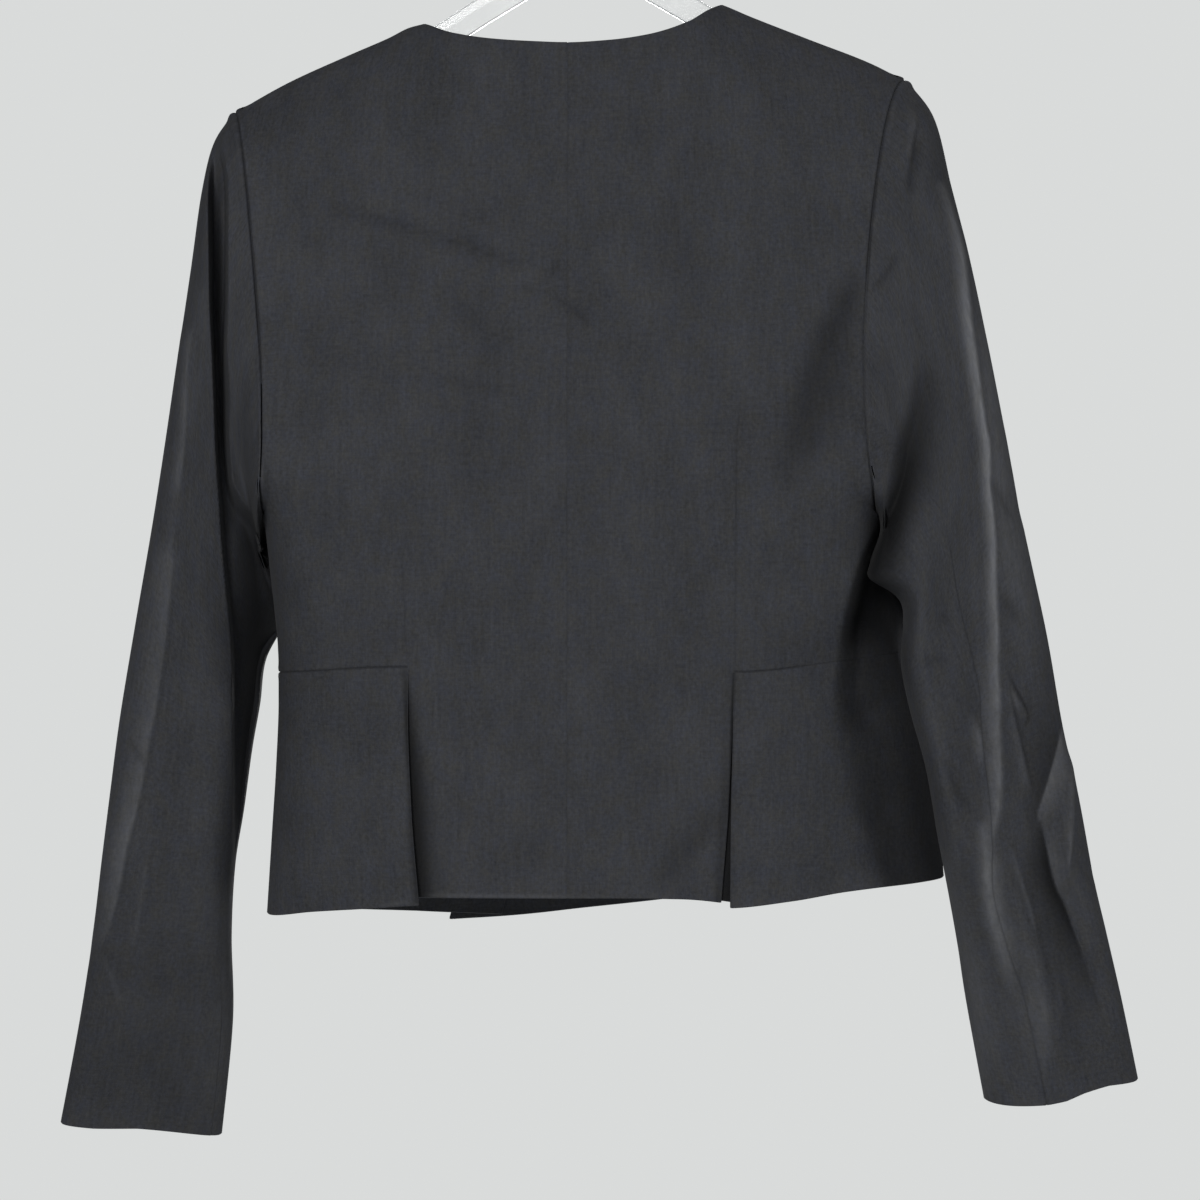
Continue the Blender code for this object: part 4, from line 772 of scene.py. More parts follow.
def relief(name, s):
    """Height of the creases and seams on a panel, along its normal."""
    side, grid, normal = s["side"], s["base"], s["lean"]
    q = seen(grid)
    sleeve = name.startswith("sleeve")
    behind = np.zeros(grid.shape[:2])
    ahead = behind.copy()
    for row in SLEEVE_CREASES[side] if sleeve else BACK_CREASES:
        behind += crease(q, row)
    for row in SLEEVE_FRONT_CREASES[side] if sleeve else FRONT_CREASES:
        ahead += crease(q, row)
    h = behind * ease(-0.05, 0.35, -normal[..., 1]) + ahead * ease(-0.05, 0.35, normal[..., 1])
    for kind in ("armhole", "side", "shoulder"):
        if kind in s["gap"]:
            h = h * ease(0, 7.0, s["gap"][kind])
    for kind, d in s["gap"].items():
        depth, width, step = SEAMS[kind]
        if side > 0 and kind in FAINT:
            depth = depth * faint(kind, q)
        if kind in ("hind", "fore"):
            shown = ease(940, 1040, q[..., 1]) if side < 0 else ease(520, 575, q[..., 1])
            depth, step = (depth * shown, step * shown) if kind == "hind" else (depth, step)
            step = step if name.startswith("sleeve_top") == (side < 0) else -step
        elif side > 0:
            step = -step
        h = h - depth * (np.exp(-(d / width) ** 2) - 0.22 * np.exp(-((d - 2.6) / 1.5) ** 2))
        h = h + 0.5 * step * np.exp(-d / 5.0) * ease(0, 0.5, d)
        if kind == "armhole" and sleeve:
            head = ease(-78.0, -12.0, grid[..., 2] - TIP[side][1])
            h = h + 1.3 * head * np.exp(-((d - 4.0) / 3.0) ** 2)
    if name.startswith("back"):
        d = grid[..., 0] - smooth(DART[side], grid[..., 2])
        low = smooth(WAIST[side], 0.5)
        length = ease(DART_TOP[side], DART_TOP[side] - 30.0, grid[..., 2]) * (grid[..., 2] > low - 0.5)
        h = h - length * (0.08 * np.exp(-(d / 0.8) ** 2) + 0.13 * np.tanh(d / 0.35) * np.exp(-np.abs(d) / 5.0))
    return h


def moved(name, s):
    """Where the deep folds carry a panel's points, after its creases."""
    side, q, out = s["side"], seen(s["base"]), s["outer"]
    facing = ease(0.0, 0.4, -s["lean"][..., 1])
    if name.startswith("sleeve"):
        if side < 0:
            room = s["far"] - s["base"][..., 1]
            fold = np.minimum(groove_depth(q), np.maximum(0.55 * room, 0)) * ease(-0.2, 0.25, -s["lean"][..., 1])
            out += away(s["base"], fold)
        for i, row in enumerate(DEEP[side]):
            turned = facing if i == 0 else ease(0.1, 0.7, -s["lean"][..., 1])
            out += away(s["base"], crease(q, row) * turned * ease(0, 4.0, s["gap"]["armhole"]))
        for (cx, cy), (rx, ry), move, (none, whole) in PUSHES[side]:
            w = np.exp(-((q[..., 0] - cx) / rx) ** 2 - ((q[..., 1] - cy) / ry) ** 2) * ease(none, whole, s["base"][..., 1])
            w = w * ease(0, 8.0, s["gap"]["armhole"])
            out += w[..., None] * np.array(move)
    if name in ("back_right", "peplum_right"):
        out += away(s["base"], np.minimum(hollow(q, 3), 0.75 * np.abs(s["base"][..., 1])) * facing)
    if name in ("back_right", "front_right"):
        out[..., 0] += 5.0 * np.exp(-((s["base"][..., 2] + 470.0) / 16.0) ** 2) * ease(150.0, 188.0, s["base"][..., 0])


def marked(rows, name, s, turn=0.0):
    """How far the marks in rows show at each point of a panel, and how far round its sides."""
    q = seen(s["base"])
    total = np.zeros(q.shape[:2])
    for row in rows.get(s["side"] if name.startswith("sleeve") else 0, ()):
        total = np.maximum(total, crease(q, row))
    return total * ease(-0.05 - turn, 0.35 - turn, -s["lean"][..., 1])


def in_seams(name, s):
    """Painted shade along seams and darts, where the cloth is drawn in."""
    g, side = s["base"], s["side"]
    total = np.zeros(g.shape[:2])
    for kind, d in s["gap"].items():
        share = SEAM_DARK[kind]
        if kind == "hind":
            row = seen(g)[..., 1]
            share = share * (ease(940, 1040, row) if side < 0 else ease(520, 575, row))
        if side > 0 and kind in FAINT:
            share = share * faint(kind, seen(g))
        total = np.maximum(total, share * np.exp(-(d / (0.5 if kind == "waist" else 0.75)) ** 2))
    if name.startswith("back"):
        d = g[..., 0] - smooth(DART[side], g[..., 2])
        length = ease(DART_TOP[side], DART_TOP[side] - 30.0, g[..., 2]) * (g[..., 2] > smooth(WAIST[side], 0.5) - 0.5)
        total = np.maximum(total, SEAM_DARK["dart"] * length * np.exp(-(d / 0.75) ** 2))
    return total


def hollow(q, what):
    """Depth (3) or share of painted shade (4) of the hollow beside the right sleeve at picture points q."""
    d = q[..., 0] - smooth(HOLLOW, q[..., 1], 1)
    inside = (q[..., 1] > HOLLOW[0][0]) & (q[..., 0] > 780)
    return np.where(inside, smooth(HOLLOW, q[..., 1], what) * ease(0, 1, d / smooth(HOLLOW, q[..., 1], 2)), 0)


def away(p, depth):
    """Moves that carry points straight away from the eye by a depth in mm."""
    return (p - EYE) / (p[..., 1:2] - EYE[1]) * depth[..., None]


# ------------------------------------------------------------- shells
def own_normals(grid, keep, sign):
    n = np.zeros_like(grid)
    face = np.cross(grid[1:, 1:] - grid[:-1, :-1], grid[1:, :-1] - grid[:-1, 1:]) * keep[..., None]
    for di in (0, 1):
        for dj in (0, 1):
            n[di:n.shape[0] - 1 + di, dj:n.shape[1] - 1 + dj] += face
    return sign * n / np.maximum(np.linalg.norm(n, axis=-1), 1e-9)[..., None]


def boundary(keep):
    """Border of the kept cells: directed edges, and which grid points they use."""
    rows, cols = keep.shape
    edges = []
    pad = np.zeros((rows + 2, cols + 2), bool)
    pad[1:-1, 1:-1] = keep
    for i, j in zip(*np.nonzero(keep)):
        a, b, c, d = (i, j), (i, j + 1), (i + 1, j + 1), (i + 1, j)
        if not pad[i, j + 1]:
            edges.append((a, b))
        if not pad[i + 1, j + 2]:
            edges.append((b, c))
        if not pad[i + 2, j + 1]:
            edges.append((c, d))
        if not pad[i + 1, j]:
            edges.append((d, a))
    return edges


def key(p):
    return (round(float(p[0]), 2), round(float(p[1]), 2), round(float(p[2]), 2))


def seam_kind(names, name, j, cols, p):
    """Which seam a border point lies on, from the panels that meet there."""
    kinds = {n.rsplit("_", 1)[0] for n in names}
    body, sleeve = kinds & {"back", "front"}, kinds & {"sleeve_top", "sleeve_under"}
    if body and sleeve:
        return "armhole"
    if "peplum" in kinds and body:
        return "waist"
    if len(body) == 2:
        return "shoulder" if p[2] > -200.0 else "side"
    if len(sleeve) == 2:
        return "hind" if (j == 0) == name.startswith("sleeve_under") else "fore"
    return "cb"


def share_normals(sheets, field):
    """Panels that meet at a seam get one normal there."""
    total, who = {}, {}
    for name, s in sheets.items():
        for ij in s["rim"]:
            q = key(s["base"][ij])
            total[q] = total.get(q, 0) + s[field][ij]
            who.setdefault(q, set()).add(name)
    for name, s in sheets.items():
        for ij in s["rim"]:
            q = key(s["base"][ij])
            s[field][ij] = total[q] / max(np.linalg.norm(total[q]), 1e-9)
            if len(who[q]) > 1:
                s["sewn"][ij] = True
                s["seams"].setdefault(seam_kind(who[q], name, ij[1], s["base"].shape[1], q), np.zeros(s["sewn"].shape, bool))[ij] = True


def share_points(sheets):
    """Panels that meet at a seam meet there at one point."""
    total, count = {}, {}
    for s in sheets.values():
        for ij in s["rim"]:
            q = key(s["base"][ij])
            total[q] = total.get(q, 0) + s["outer"][ij]
            count[q] = count.get(q, 0) + 1
    for s in sheets.values():
        for ij in s["rim"]:
            q = key(s["base"][ij])
            s["outer"][ij] = total[q] / count[q]


def seam_distance(s, mask):
    """Distance in mm from each grid point to a sewn edge, along the grid."""
    g, far = s["base"], 1e3
    best = np.full(g.shape[:2], far)
    for axis in (0, 1):
        step = np.linalg.norm(np.diff(g, axis=axis), axis=-1)
        for back in (False, True):
            st, sewn, used = (np.flip(v, axis) if back else v for v in (step, mask, s["used"]))
            across = s["edge_kind"][axis]["flip" if back else "fwd"]
            run = np.full(g.shape[:2], far)
            prev = np.full(g.shape[1 - axis], far)
            for i in range(g.shape[axis]):
                at = (i, slice(None)) if axis == 0 else (slice(None), i)
                if i > 0:
                    prev = prev + st[(i - 1, slice(None)) if axis == 0 else (slice(None), i - 1)]
                prev = np.where(sewn[at] & across[at], 0.0, prev)
                prev = np.where(used[at], prev, far)
                run[at] = prev
            best = np.minimum(best, np.flip(run, axis) if back else run)
    return best


def edge_kinds(s):
    """For each axis, where a panel's border lies across that axis."""
    used = s["used"]
    kinds = {}
    for axis in (0, 1):
        fwd = np.zeros_like(used)
        bwd = np.zeros_like(used)
        if axis == 0:
            fwd[0] = used[0]
            fwd[1:] = used[1:] & ~used[:-1]
            bwd[-1] = used[-1]
            bwd[:-1] = used[:-1] & ~used[1:]
        else:
            fwd[:, 0] = used[:, 0]
            fwd[:, 1:] = used[:, 1:] & ~used[:, :-1]
            bwd[:, -1] = used[:, -1]
            bwd[:, :-1] = used[:, :-1] & ~used[:, 1:]
        kinds[axis] = {"fwd": fwd, "flip": np.flip(bwd, axis)}
    return kinds


def shell(name, s, mat):
    """Closed shell of a panel: outer face, inner face and a rounded rim."""
    g, n, keep = s["outer"], s["lean"], s["keep"]
    rows, cols = g.shape[:2]
    inner = g - n * CLOTH
    index = -np.ones((rows, cols), int)
    used = s["used"]
    index[used] = np.arange(used.sum())
    count = int(used.sum())
    verts = [g[used], inner[used]]
    flip = s["sign"] < 0
    i, j = np.nonzero(keep)
    quad = np.stack([index[i, j], index[i, j + 1], index[i + 1, j + 1], index[i + 1, j]], -1)
    at = np.stack([j, j + 1, j + 1, j], -1), np.stack([i, i, i + 1, i + 1], -1)
    outward = quad[:, ::-1] if flip else quad
    order = slice(None, None, -1) if flip else slice(None)
    faces = [outward, (outward + count)[:, ::-1]]
    uj, ui = at[0][:, order], at[1][:, order]
    flat = s["flat"]
    weave = [flat[ui, uj], flat[ui, uj][:, ::-1]]
    un, vn = cols - 1.0, rows - 1.0
    lay = np.stack([0.02 + 0.96 * uj / un, 0.02 + 0.56 * ui / vn], -1)
    lay_in = np.stack([0.02 + 0.96 * uj / un, 0.62 + 0.32 * ui / vn], -1)[:, ::-1]
    bake = [lay, lay_in]

    edges = boundary(keep)
    if flip:
        edges = [(b, a) for a, b in edges]
    # rim points: half a wall beyond a free edge, just under the neighbour at a sewn one
    out = {}
    for a, b in edges:
        t = g[b] - g[a]
        t = t / max(np.linalg.norm(t), 1e-9)
        for p in (a, b):
            out[p] = out.get(p, 0) + np.cross(t, n[p])
    mids, mid_index = [], {}
    for p, d in out.items():
        d = d / max(np.linalg.norm(d), 1e-9)
        reach = 0.14 if s["sewn"][p] else 0.5 * CLOTH
        mid_index[p] = 2 * count + len(mids)
        mids.append((g[p] + inner[p]) / 2 + d * reach)
        if s["sewn"][p]:
            verts[1][index[p]] += d * reach
    verts.append(np.array(mids))
    rim, rim_weave, rim_bake = [], [], []
    for m, (a, b) in enumerate(edges):
        oa, ob, ia, ib, ma, mb = index[a], index[b], index[a] + count, index[b] + count, mid_index[a], mid_index[b]
        rim += [(ob, oa, ma, mb), (mb, ma, ia, ib)]
        fa, fb = flat[a], flat[b]
        rim_weave += [(fb, fa, fa, fb)] * 2
        u0, u1 = 0.02 + 0.96 * m / len(edges), 0.02 + 0.96 * (m + 1) / len(edges)
        rim_bake += [((u1, 0.955), (u0, 0.955), (u0, 0.967), (u1, 0.967)), ((u1, 0.967), (u0, 0.967), (u0, 0.98), (u1, 0.98))]
    faces.append(np.array(rim))
    weave.append(np.array(rim_weave))
    bake.append(np.array(rim_bake))
    faces = np.concatenate(faces)
    verts = np.concatenate(verts) * MM
    mesh = bpy.data.meshes.new(name)
    mesh.vertices.add(len(verts))
    mesh.vertices.foreach_set("co", verts.astype(np.float32).ravel())
    mesh.loops.add(faces.size)
    mesh.loops.foreach_set("vertex_index", faces.astype(np.int32).ravel())
    mesh.polygons.add(len(faces))
    mesh.polygons.foreach_set("loop_start", np.arange(0, faces.size, 4, dtype=np.int32))
    mesh.polygons.foreach_set("loop_total", np.full(len(faces), 4, np.int32))
    mesh.update(calc_edges=True)
    mesh.validate()
    for uv_name, data in (("weave", np.concatenate(weave)), ("OFBake", np.concatenate(bake))):
        layer = mesh.uv_layers.new(name=uv_name)
        layer.uv.foreach_set("vector", data.reshape(-1, 2).astype(np.float32).ravel())
    edge_out = np.array([d / max(np.linalg.norm(d), 1e-9) for d in out.values()])
    mesh.shade_smooth()
    mesh.normals_split_custom_set_from_vertices(np.concatenate([n[used], -n[used], edge_out]))
    # the painted highlight and painted shade shares go onto the mesh as point attributes
    for mark in ("painted_highlight", "painted_shade"):
        share = np.zeros(len(verts), np.float32)
        share[:count] = s[mark][used]
        mesh.attributes.new(mark, "FLOAT", "POINT").data.foreach_set("value", share)
    return mesh_object(name, mesh, mat)


# ---------------------------------------------------------------- materials
def nodes_of(name):
    mat = bpy.data.materials.new(name)
    mat.use_nodes = True
    t = mat.node_tree
    return mat, t, t.nodes["Principled BSDF"]


def link(t, a, b):
    t.links.new(a, b)


def value_node(t, kind, **settings):
    n = t.nodes.new(kind)
    for k, v in settings.items():
        setattr(n, k, v)
    return n


def noise(t, vector, scale, stretch, detail=2.0, rough=0.5):
    """Noise with its own size along and across the cloth."""
    m = value_node(t, "ShaderNodeMapping")
    m.inputs["Scale"].default_value = (*stretch, 1.0)
    link(t, vector, m.inputs["Vector"])
    n = value_node(t, "ShaderNodeTexNoise")
    n.inputs["Scale"].default_value = scale
    n.inputs["Detail"].default_value = detail
    n.inputs["Roughness"].default_value = rough
    link(t, m.outputs["Vector"], n.inputs["Vector"])
    return n.outputs["Fac"]


def maths(t, op, a, b):
    n = value_node(t, "ShaderNodeMath", operation=op)
    for socket, v in zip(n.inputs, (a, b)):
        if isinstance(v, (int, float)):
            socket.default_value = v
        else:
            link(t, v, socket)
    return n.outputs[0]


def suiting():
    """Charcoal worsted: fine streaks of lighter and darker yarn both ways."""
    mat, t, b = nodes_of("charcoal_suiting")
    uv = value_node(t, "ShaderNodeUVMap", uv_map="weave").outputs["UV"]
    warp = noise(t, uv, 1.0, (1150.0, 120.0), 2.0)
    weft = noise(t, uv, 1.0, (130.0, 1050.0), 2.0)
    fuzz = noise(t, uv, 1.0, (520.0, 400.0), 3.0, 0.6)
    cloud = noise(t, uv, 1.0, (30.0, 20.0), 3.0)
    slub = noise(t, uv, 1.0, (330.0, 40.0), 1.0)
    mixed = maths(t, "ADD", maths(t, "MULTIPLY", warp, 0.18), maths(t, "MULTIPLY", weft, 0.13))
    mixed = maths(t, "ADD", mixed, maths(t, "MULTIPLY", fuzz, 0.42))
    mixed = maths(t, "ADD", mixed, maths(t, "MULTIPLY", slub, 0.14))
    mixed = maths(t, "ADD", mixed, maths(t, "MULTIPLY", cloud, 0.27))
    plain = value_node(t, "ShaderNodeValToRGB")
    plain.color_ramp.elements[0].position = 0.335
    plain.color_ramp.elements[0].color = (0.0150, 0.0156, 0.0172, 1)
    plain.color_ramp.elements[1].position = 0.795
    plain.color_ramp.elements[1].color = (0.0590, 0.0605, 0.0655, 1)
    link(t, mixed, plain.inputs["Fac"])
    yarn = maths(t, "ADD", maths(t, "MULTIPLY", noise(t, uv, 1.0, (130.0, 95.0), 2.0), 0.6), maths(t, "MULTIPLY", noise(t, uv, 1.0, (700.0, 520.0), 1.0), 0.4))
    tint = value_node(t, "ShaderNodeValToRGB")
    tint.color_ramp.elements[0].position = 0.36
    tint.color_ramp.elements[0].color = (0.95, 0.99, 1.14, 1)
    tint.color_ramp.elements[1].position = 0.64
    tint.color_ramp.elements[1].color = (1.04, 1.01, 0.94, 1)
    link(t, yarn, tint.inputs["Fac"])
    ramp = value_node(t, "ShaderNodeMix", data_type="RGBA", blend_type="MULTIPLY")
    ramp.inputs[0].default_value = 1.0
    link(t, plain.outputs["Color"], ramp.inputs[6])
    link(t, tint.outputs["Color"], ramp.inputs[7])
    # painted highlight: the crest and edge marks mix in a paler colour, in patchy streaks; they also lower the
    # roughness
    painted_highlight = value_node(t, "ShaderNodeAttribute", attribute_name="painted_highlight").outputs["Fac"]
    paler = value_node(t, "ShaderNodeMix", data_type="RGBA", blend_type="MIX")
    patchy_highlight = maths(t, "ADD", maths(t, "MULTIPLY", noise(t, uv, 1.0, (260.0, 110.0), 2.0), 0.9), 0.35)
    link(t, maths(t, "MULTIPLY", painted_highlight, patchy_highlight), paler.inputs[0])
    link(t, ramp.outputs[2], paler.inputs[6])
    lift = value_node(t, "ShaderNodeMix", data_type="RGBA", blend_type="ADD")
    lift.inputs[0].default_value = 1.0
    lift.inputs[7].default_value = (0.135, 0.137, 0.143, 1)
    link(t, ramp.outputs[2], lift.inputs[6])
    link(t, lift.outputs[2], paler.inputs[7])
    # painted shade: the fold, hollow, seam and vent marks multiply the colour towards near black
    painted_shade = value_node(t, "ShaderNodeAttribute", attribute_name="painted_shade").outputs["Fac"]
    painted_shade_mix = value_node(t, "ShaderNodeMix", data_type="RGBA", blend_type="MULTIPLY")
    painted_shade_mix.inputs[7].default_value = (0.07, 0.07, 0.073, 1)
    link(t, painted_shade, painted_shade_mix.inputs[0])
    link(t, paler.outputs[2], painted_shade_mix.inputs[6])
    link(t, painted_shade_mix.outputs[2], b.inputs["Base Color"])
    rough = value_node(t, "ShaderNodeMapRange")
    rough.inputs["To Min"].default_value = 0.72
    rough.inputs["To Max"].default_value = 0.92
    link(t, warp, rough.inputs["Value"])
    link(t, maths(t, "SUBTRACT", rough.outputs["Result"], maths(t, "MULTIPLY", painted_highlight, 0.2)), b.inputs["Roughness"])
    bump = value_node(t, "ShaderNodeBump")
    bump.inputs["Strength"].default_value = 0.35
    bump.inputs["Distance"].default_value = 0.00035
    link(t, maths(t, "ADD", warp, weft), bump.inputs["Height"])
    link(t, bump.outputs["Normal"], b.inputs["Normal"])
    b.inputs["Specular IOR Level"].default_value = 0.25
    b.inputs["Sheen Weight"].default_value = 0.02
    b.inputs["Sheen Roughness"].default_value = 0.45
    return mat


def resin():
    mat, t, b = nodes_of("dark_button")
    at = value_node(t, "ShaderNodeTexCoord").outputs["Object"]
    swirl = noise(t, at, 1.0, (260.0, 260.0), 3.0)
    ramp = value_node(t, "ShaderNodeValToRGB")
    ramp.color_ramp.elements[0].color = (0.010, 0.010, 0.011, 1)
    ramp.color_ramp.elements[1].color = (0.038, 0.037, 0.038, 1)
    link(t, swirl, ramp.inputs["Fac"])
    link(t, ramp.outputs["Color"], b.inputs["Base Color"])
    rough = value_node(t, "ShaderNodeMapRange")
    rough.inputs["To Min"].default_value = 0.26
    rough.inputs["To Max"].default_value = 0.42
    link(t, swirl, rough.inputs["Value"])
    link(t, rough.outputs["Result"], b.inputs["Roughness"])
    return mat


def clear_plastic():
    mat, t, b = nodes_of("clear_plastic")
    at = value_node(t, "ShaderNodeTexCoord").outputs["Object"]
    scuff = noise(t, at, 1.0, (60.0, 60.0), 4.0)
    rough = value_node(t, "ShaderNodeMapRange")
    rough.inputs["To Min"].default_value = 0.02
    rough.inputs["To Max"].default_value = 0.10
    link(t, scuff, rough.inputs["Value"])
    link(t, rough.outputs["Result"], b.inputs["Roughness"])
    # painted shade: the rims, where the faces turn sideways, are tinted grey to darken the hanger's edges
    turned = value_node(t, "ShaderNodeSeparateXYZ")
    link(t, value_node(t, "ShaderNodeTexCoord").outputs["Normal"], turned.inputs[0])
    edge = value_node(t, "ShaderNodeValToRGB")
    edge.color_ramp.elements[0].position, edge.color_ramp.elements[0].color = 0.55, (0.42, 0.44, 0.45, 1)
    edge.color_ramp.elements[1].position, edge.color_ramp.elements[1].color = 0.97, (0.985, 0.99, 0.99, 1)
    link(t, maths(t, "ABSOLUTE", turned.outputs["Y"], 0.0), edge.inputs["Fac"])
    link(t, edge.outputs["Color"], b.inputs["Base Color"])
    b.inputs["Transmission Weight"].default_value = 0.94
    b.inputs["IOR"].default_value = 1.22
    return mat


def bright_wire():
    mat, t, b = nodes_of("hook_steel")
    at = value_node(t, "ShaderNodeTexCoord").outputs["Object"]
    drawn = noise(t, at, 1.0, (500.0, 40.0), 3.0)
    ramp = value_node(t, "ShaderNodeValToRGB")
    ramp.color_ramp.elements[0].color = (0.60, 0.61, 0.63, 1)
    ramp.color_ramp.elements[1].color = (0.78, 0.79, 0.81, 1)
    link(t, drawn, ramp.inputs["Fac"])
    link(t, ramp.outputs["Color"], b.inputs["Base Color"])
    rough = value_node(t, "ShaderNodeMapRange")
    rough.inputs["To Min"].default_value = 0.14
    rough.inputs["To Max"].default_value = 0.28
    link(t, drawn, rough.inputs["Value"])
    link(t, rough.outputs["Result"], b.inputs["Roughness"])
    b.inputs["Metallic"].default_value = 1.0
    return mat


# ------------------------------------------------------------------ panels
def make_panels():
    made = {}
    hind, fore = PHI_BACK.index(HIND_SEAM), PHI_FRONT.index(FORE_SEAM)
    for side, word in ((-1, "left"), (1, "right")):
        made["back_" + word] = (side, *back_half(side))
        made["front_" + word] = (side, *front_half(side))
        made["peplum_" + word] = (side, *peplum(side))
        made["sleeve_top_" + word] = (side, *sleeve_piece(side, PHI_FRONT[fore:] + PHI_BACK[1:hind + 1]))
        made["sleeve_under_" + word] = (side, *sleeve_piece(side, PHI_BACK[hind:] + PHI_FRONT[1:fore + 1]))
        made["vent_underlay_" + word] = (side, *underlay(side))
    sheets = {}
    for name, (side, grid, keep) in made.items():
        used = np.zeros(grid.shape[:2], bool)
        for di in (0, 1):
            for dj in (0, 1):
                used[di:used.shape[0] - 1 + di, dj:used.shape[1] - 1 + dj] |= keep
        raw = own_normals(grid, keep, 1.0)
        if name.startswith("sleeve"):
            k = np.linspace(0, 1, grid.shape[0])[:, None]
            mid_x = (SLEEVE[side][4][0] + SLEEVE[side][4][2]) / 2
            mid_x = mid_x + ((SLEEVE[side][-1][0] + SLEEVE[side][-1][2]) / 2 - mid_x) * k
            out = np.stack([grid[..., 0] - mid_x, grid[..., 1], grid[..., 2] * 0], -1)
        else:
            out = np.stack([(grid[..., 0] - CENTRE_X) * 0.4, grid[..., 1], grid[..., 2] * 0], -1)
        sign = 1.0 if (raw * out)[used].sum() > 0 else -1.0
        sheets[name] = dict(side=side, base=grid, keep=keep, used=used, sign=sign, lean=raw * sign,
                            sewn=np.zeros(grid.shape[:2], bool), seams={},
                            rim=sorted({p for e in boundary(keep) for p in e}))
    share_normals(sheets, "lean")
    for name, s in sheets.items():
        if name.startswith("sleeve"):
            phis = PHI_FRONT[fore:] + PHI_BACK[1:hind + 1] if "top" in name else PHI_BACK[hind:] + PHI_FRONT[1:fore + 1]
            away = np.radians(-np.asarray(phis))
            s["far"] = np.array([sleeve_point(s["side"], np.full(len(away), q), away) for q in sleeve_stations()])[..., 1]
        s["edge_kind"] = edge_kinds(s)
        s["gap"] = {kind: seam_distance(s, mask) for kind, mask in s["seams"].items()}
        s["outer"] = s["base"] + s["lean"] * relief(name, s)[..., None]
        moved(name, s)
        plain = np.zeros(s["base"].shape[:2])
        # painted highlight from the pressed and edge marks
        s["painted_highlight"] = marked(PAINTED_HIGHLIGHT_MARKS, name, s)
        # painted shade from the fold marks and along the seams
        s["painted_shade"] = plain if name.startswith("front") else np.maximum(marked(PAINTED_SHADE_MARKS, name, s, 0.5), in_seams(name, s))
        # painted shade: the vent underlay, seen only deep in the slit, is darkened all over
        if name.startswith("vent"):
            s["painted_shade"] = plain + 0.95
        # painted shade in the hollow beside the right sleeve
        if name in ("back_right", "peplum_right"):
            s["painted_shade"] = np.maximum(s["painted_shade"], hollow(seen(s["base"]), 4) * ease(0.0, 0.4, -s["lean"][..., 1]))
    share_points(sheets)
    for s in sheets.values():
        s["lean"] = own_normals(s["outer"], s["keep"], s["sign"])
    share_normals(sheets, "lean")
    for name, s in sheets.items():
        g = s["base"]
        across = np.concatenate([np.zeros((g.shape[0], 1)), np.cumsum(np.linalg.norm(np.diff(g, axis=1), axis=-1), 1)], 1)
        down = np.concatenate([np.zeros((1, g.shape[1])), np.cumsum(np.linalg.norm(np.diff(g, axis=0), axis=-1), 0)], 0)
        if name.startswith("sleeve"):
            across = across - across[:, [across.shape[1] // 2]]
        down = down * 0 + down.mean(1, keepdims=True) if name.startswith("sleeve") else -g[..., 2]
        s["flat"] = np.stack([across, down], -1) * MM + np.array([0.83, 0.57]) * list(sheets).index(name)
    return sheets


def cloth_pieces():
    mat = suiting()
    for name, s in make_panels().items():
        piece = shell(name + "_cloth", s, mat)
        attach(piece, "root")
        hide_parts(name)


# ------------------------------------------------------- hanger and buttons
def mesh_object(name, mesh, mat):
    obj = bpy.data.objects.new(name, mesh)
    bpy.context.scene.collection.objects.link(obj)
    mesh.materials.append(mat)
    return obj


def from_curve(name, curve, mat):
    """A curve turned into a mesh piece."""
    tmp = bpy.data.objects.new(name + "_curve", curve)
    bpy.context.scene.collection.objects.link(tmp)
    dg = bpy.context.evaluated_depsgraph_get()
    mesh = bpy.data.meshes.new_from_object(tmp.evaluated_get(dg))
    mesh.transform(tmp.matrix_world)
    bpy.data.objects.remove(tmp)
    bm = bmesh.new()
    bm.from_mesh(mesh)
    bmesh.ops.remove_doubles(bm, verts=bm.verts[:], dist=1e-6)
    bmesh.ops.recalc_face_normals(bm, faces=bm.faces[:])
    bm.to_mesh(mesh)
    bm.free()
    mesh.name = name
    mesh.materials.clear()
    mesh.shade_smooth()
    mesh.set_sharp_from_angle(angle=math.radians(35))
    return mesh_object(name, mesh, mat)


def hanger():
    top = np.array(HANGER_TOP)
    centre = int(np.argmax(top[:, 1]))
    t = np.gradient(top, axis=0)
    t /= np.linalg.norm(t, axis=1)[:, None]
    low = top + np.stack([t[:, 1], -t[:, 0]], -1) * HANGER_ARM
    near = np.abs(top[:, 0] - top[centre, 0]) < 40
    low = low[~near | (np.arange(len(top)) == centre)]
    ends = [top[0] + (low[0] - top[0]) * 0.5 - t[0] * HANGER_ARM * 0.35,
            top[-1] + (low[-1] - top[-1]) * 0.5 + t[-1] * HANGER_ARM * 0.35]
    loop = np.array([ends[0], *top, ends[1], *low[::-1]])
    curve = bpy.data.curves.new("hanger_outline", "CURVE")
    curve.dimensions = "2D"
    curve.fill_mode = "BOTH"
    curve.extrude = (HANGER_T / 2 - 0.9) * MM
    curve.bevel_depth = 0.9 * MM
    curve.bevel_resolution = 3
    curve.offset = -0.9 * MM
    s = curve.splines.new("POLY")
    s.points.add(len(loop) - 1)
    for p, (x, z) in zip(s.points, loop):
        p.co = (x * MM, z * MM, 0.0, 1.0)
    s.use_cyclic_u = True
    piece = from_curve("hanger_clear", curve, clear_plastic())
    piece.data.transform(Matrix.Rotation(math.radians(90), 4, "X"))
    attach(piece, "root")
    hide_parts("hanger_body")


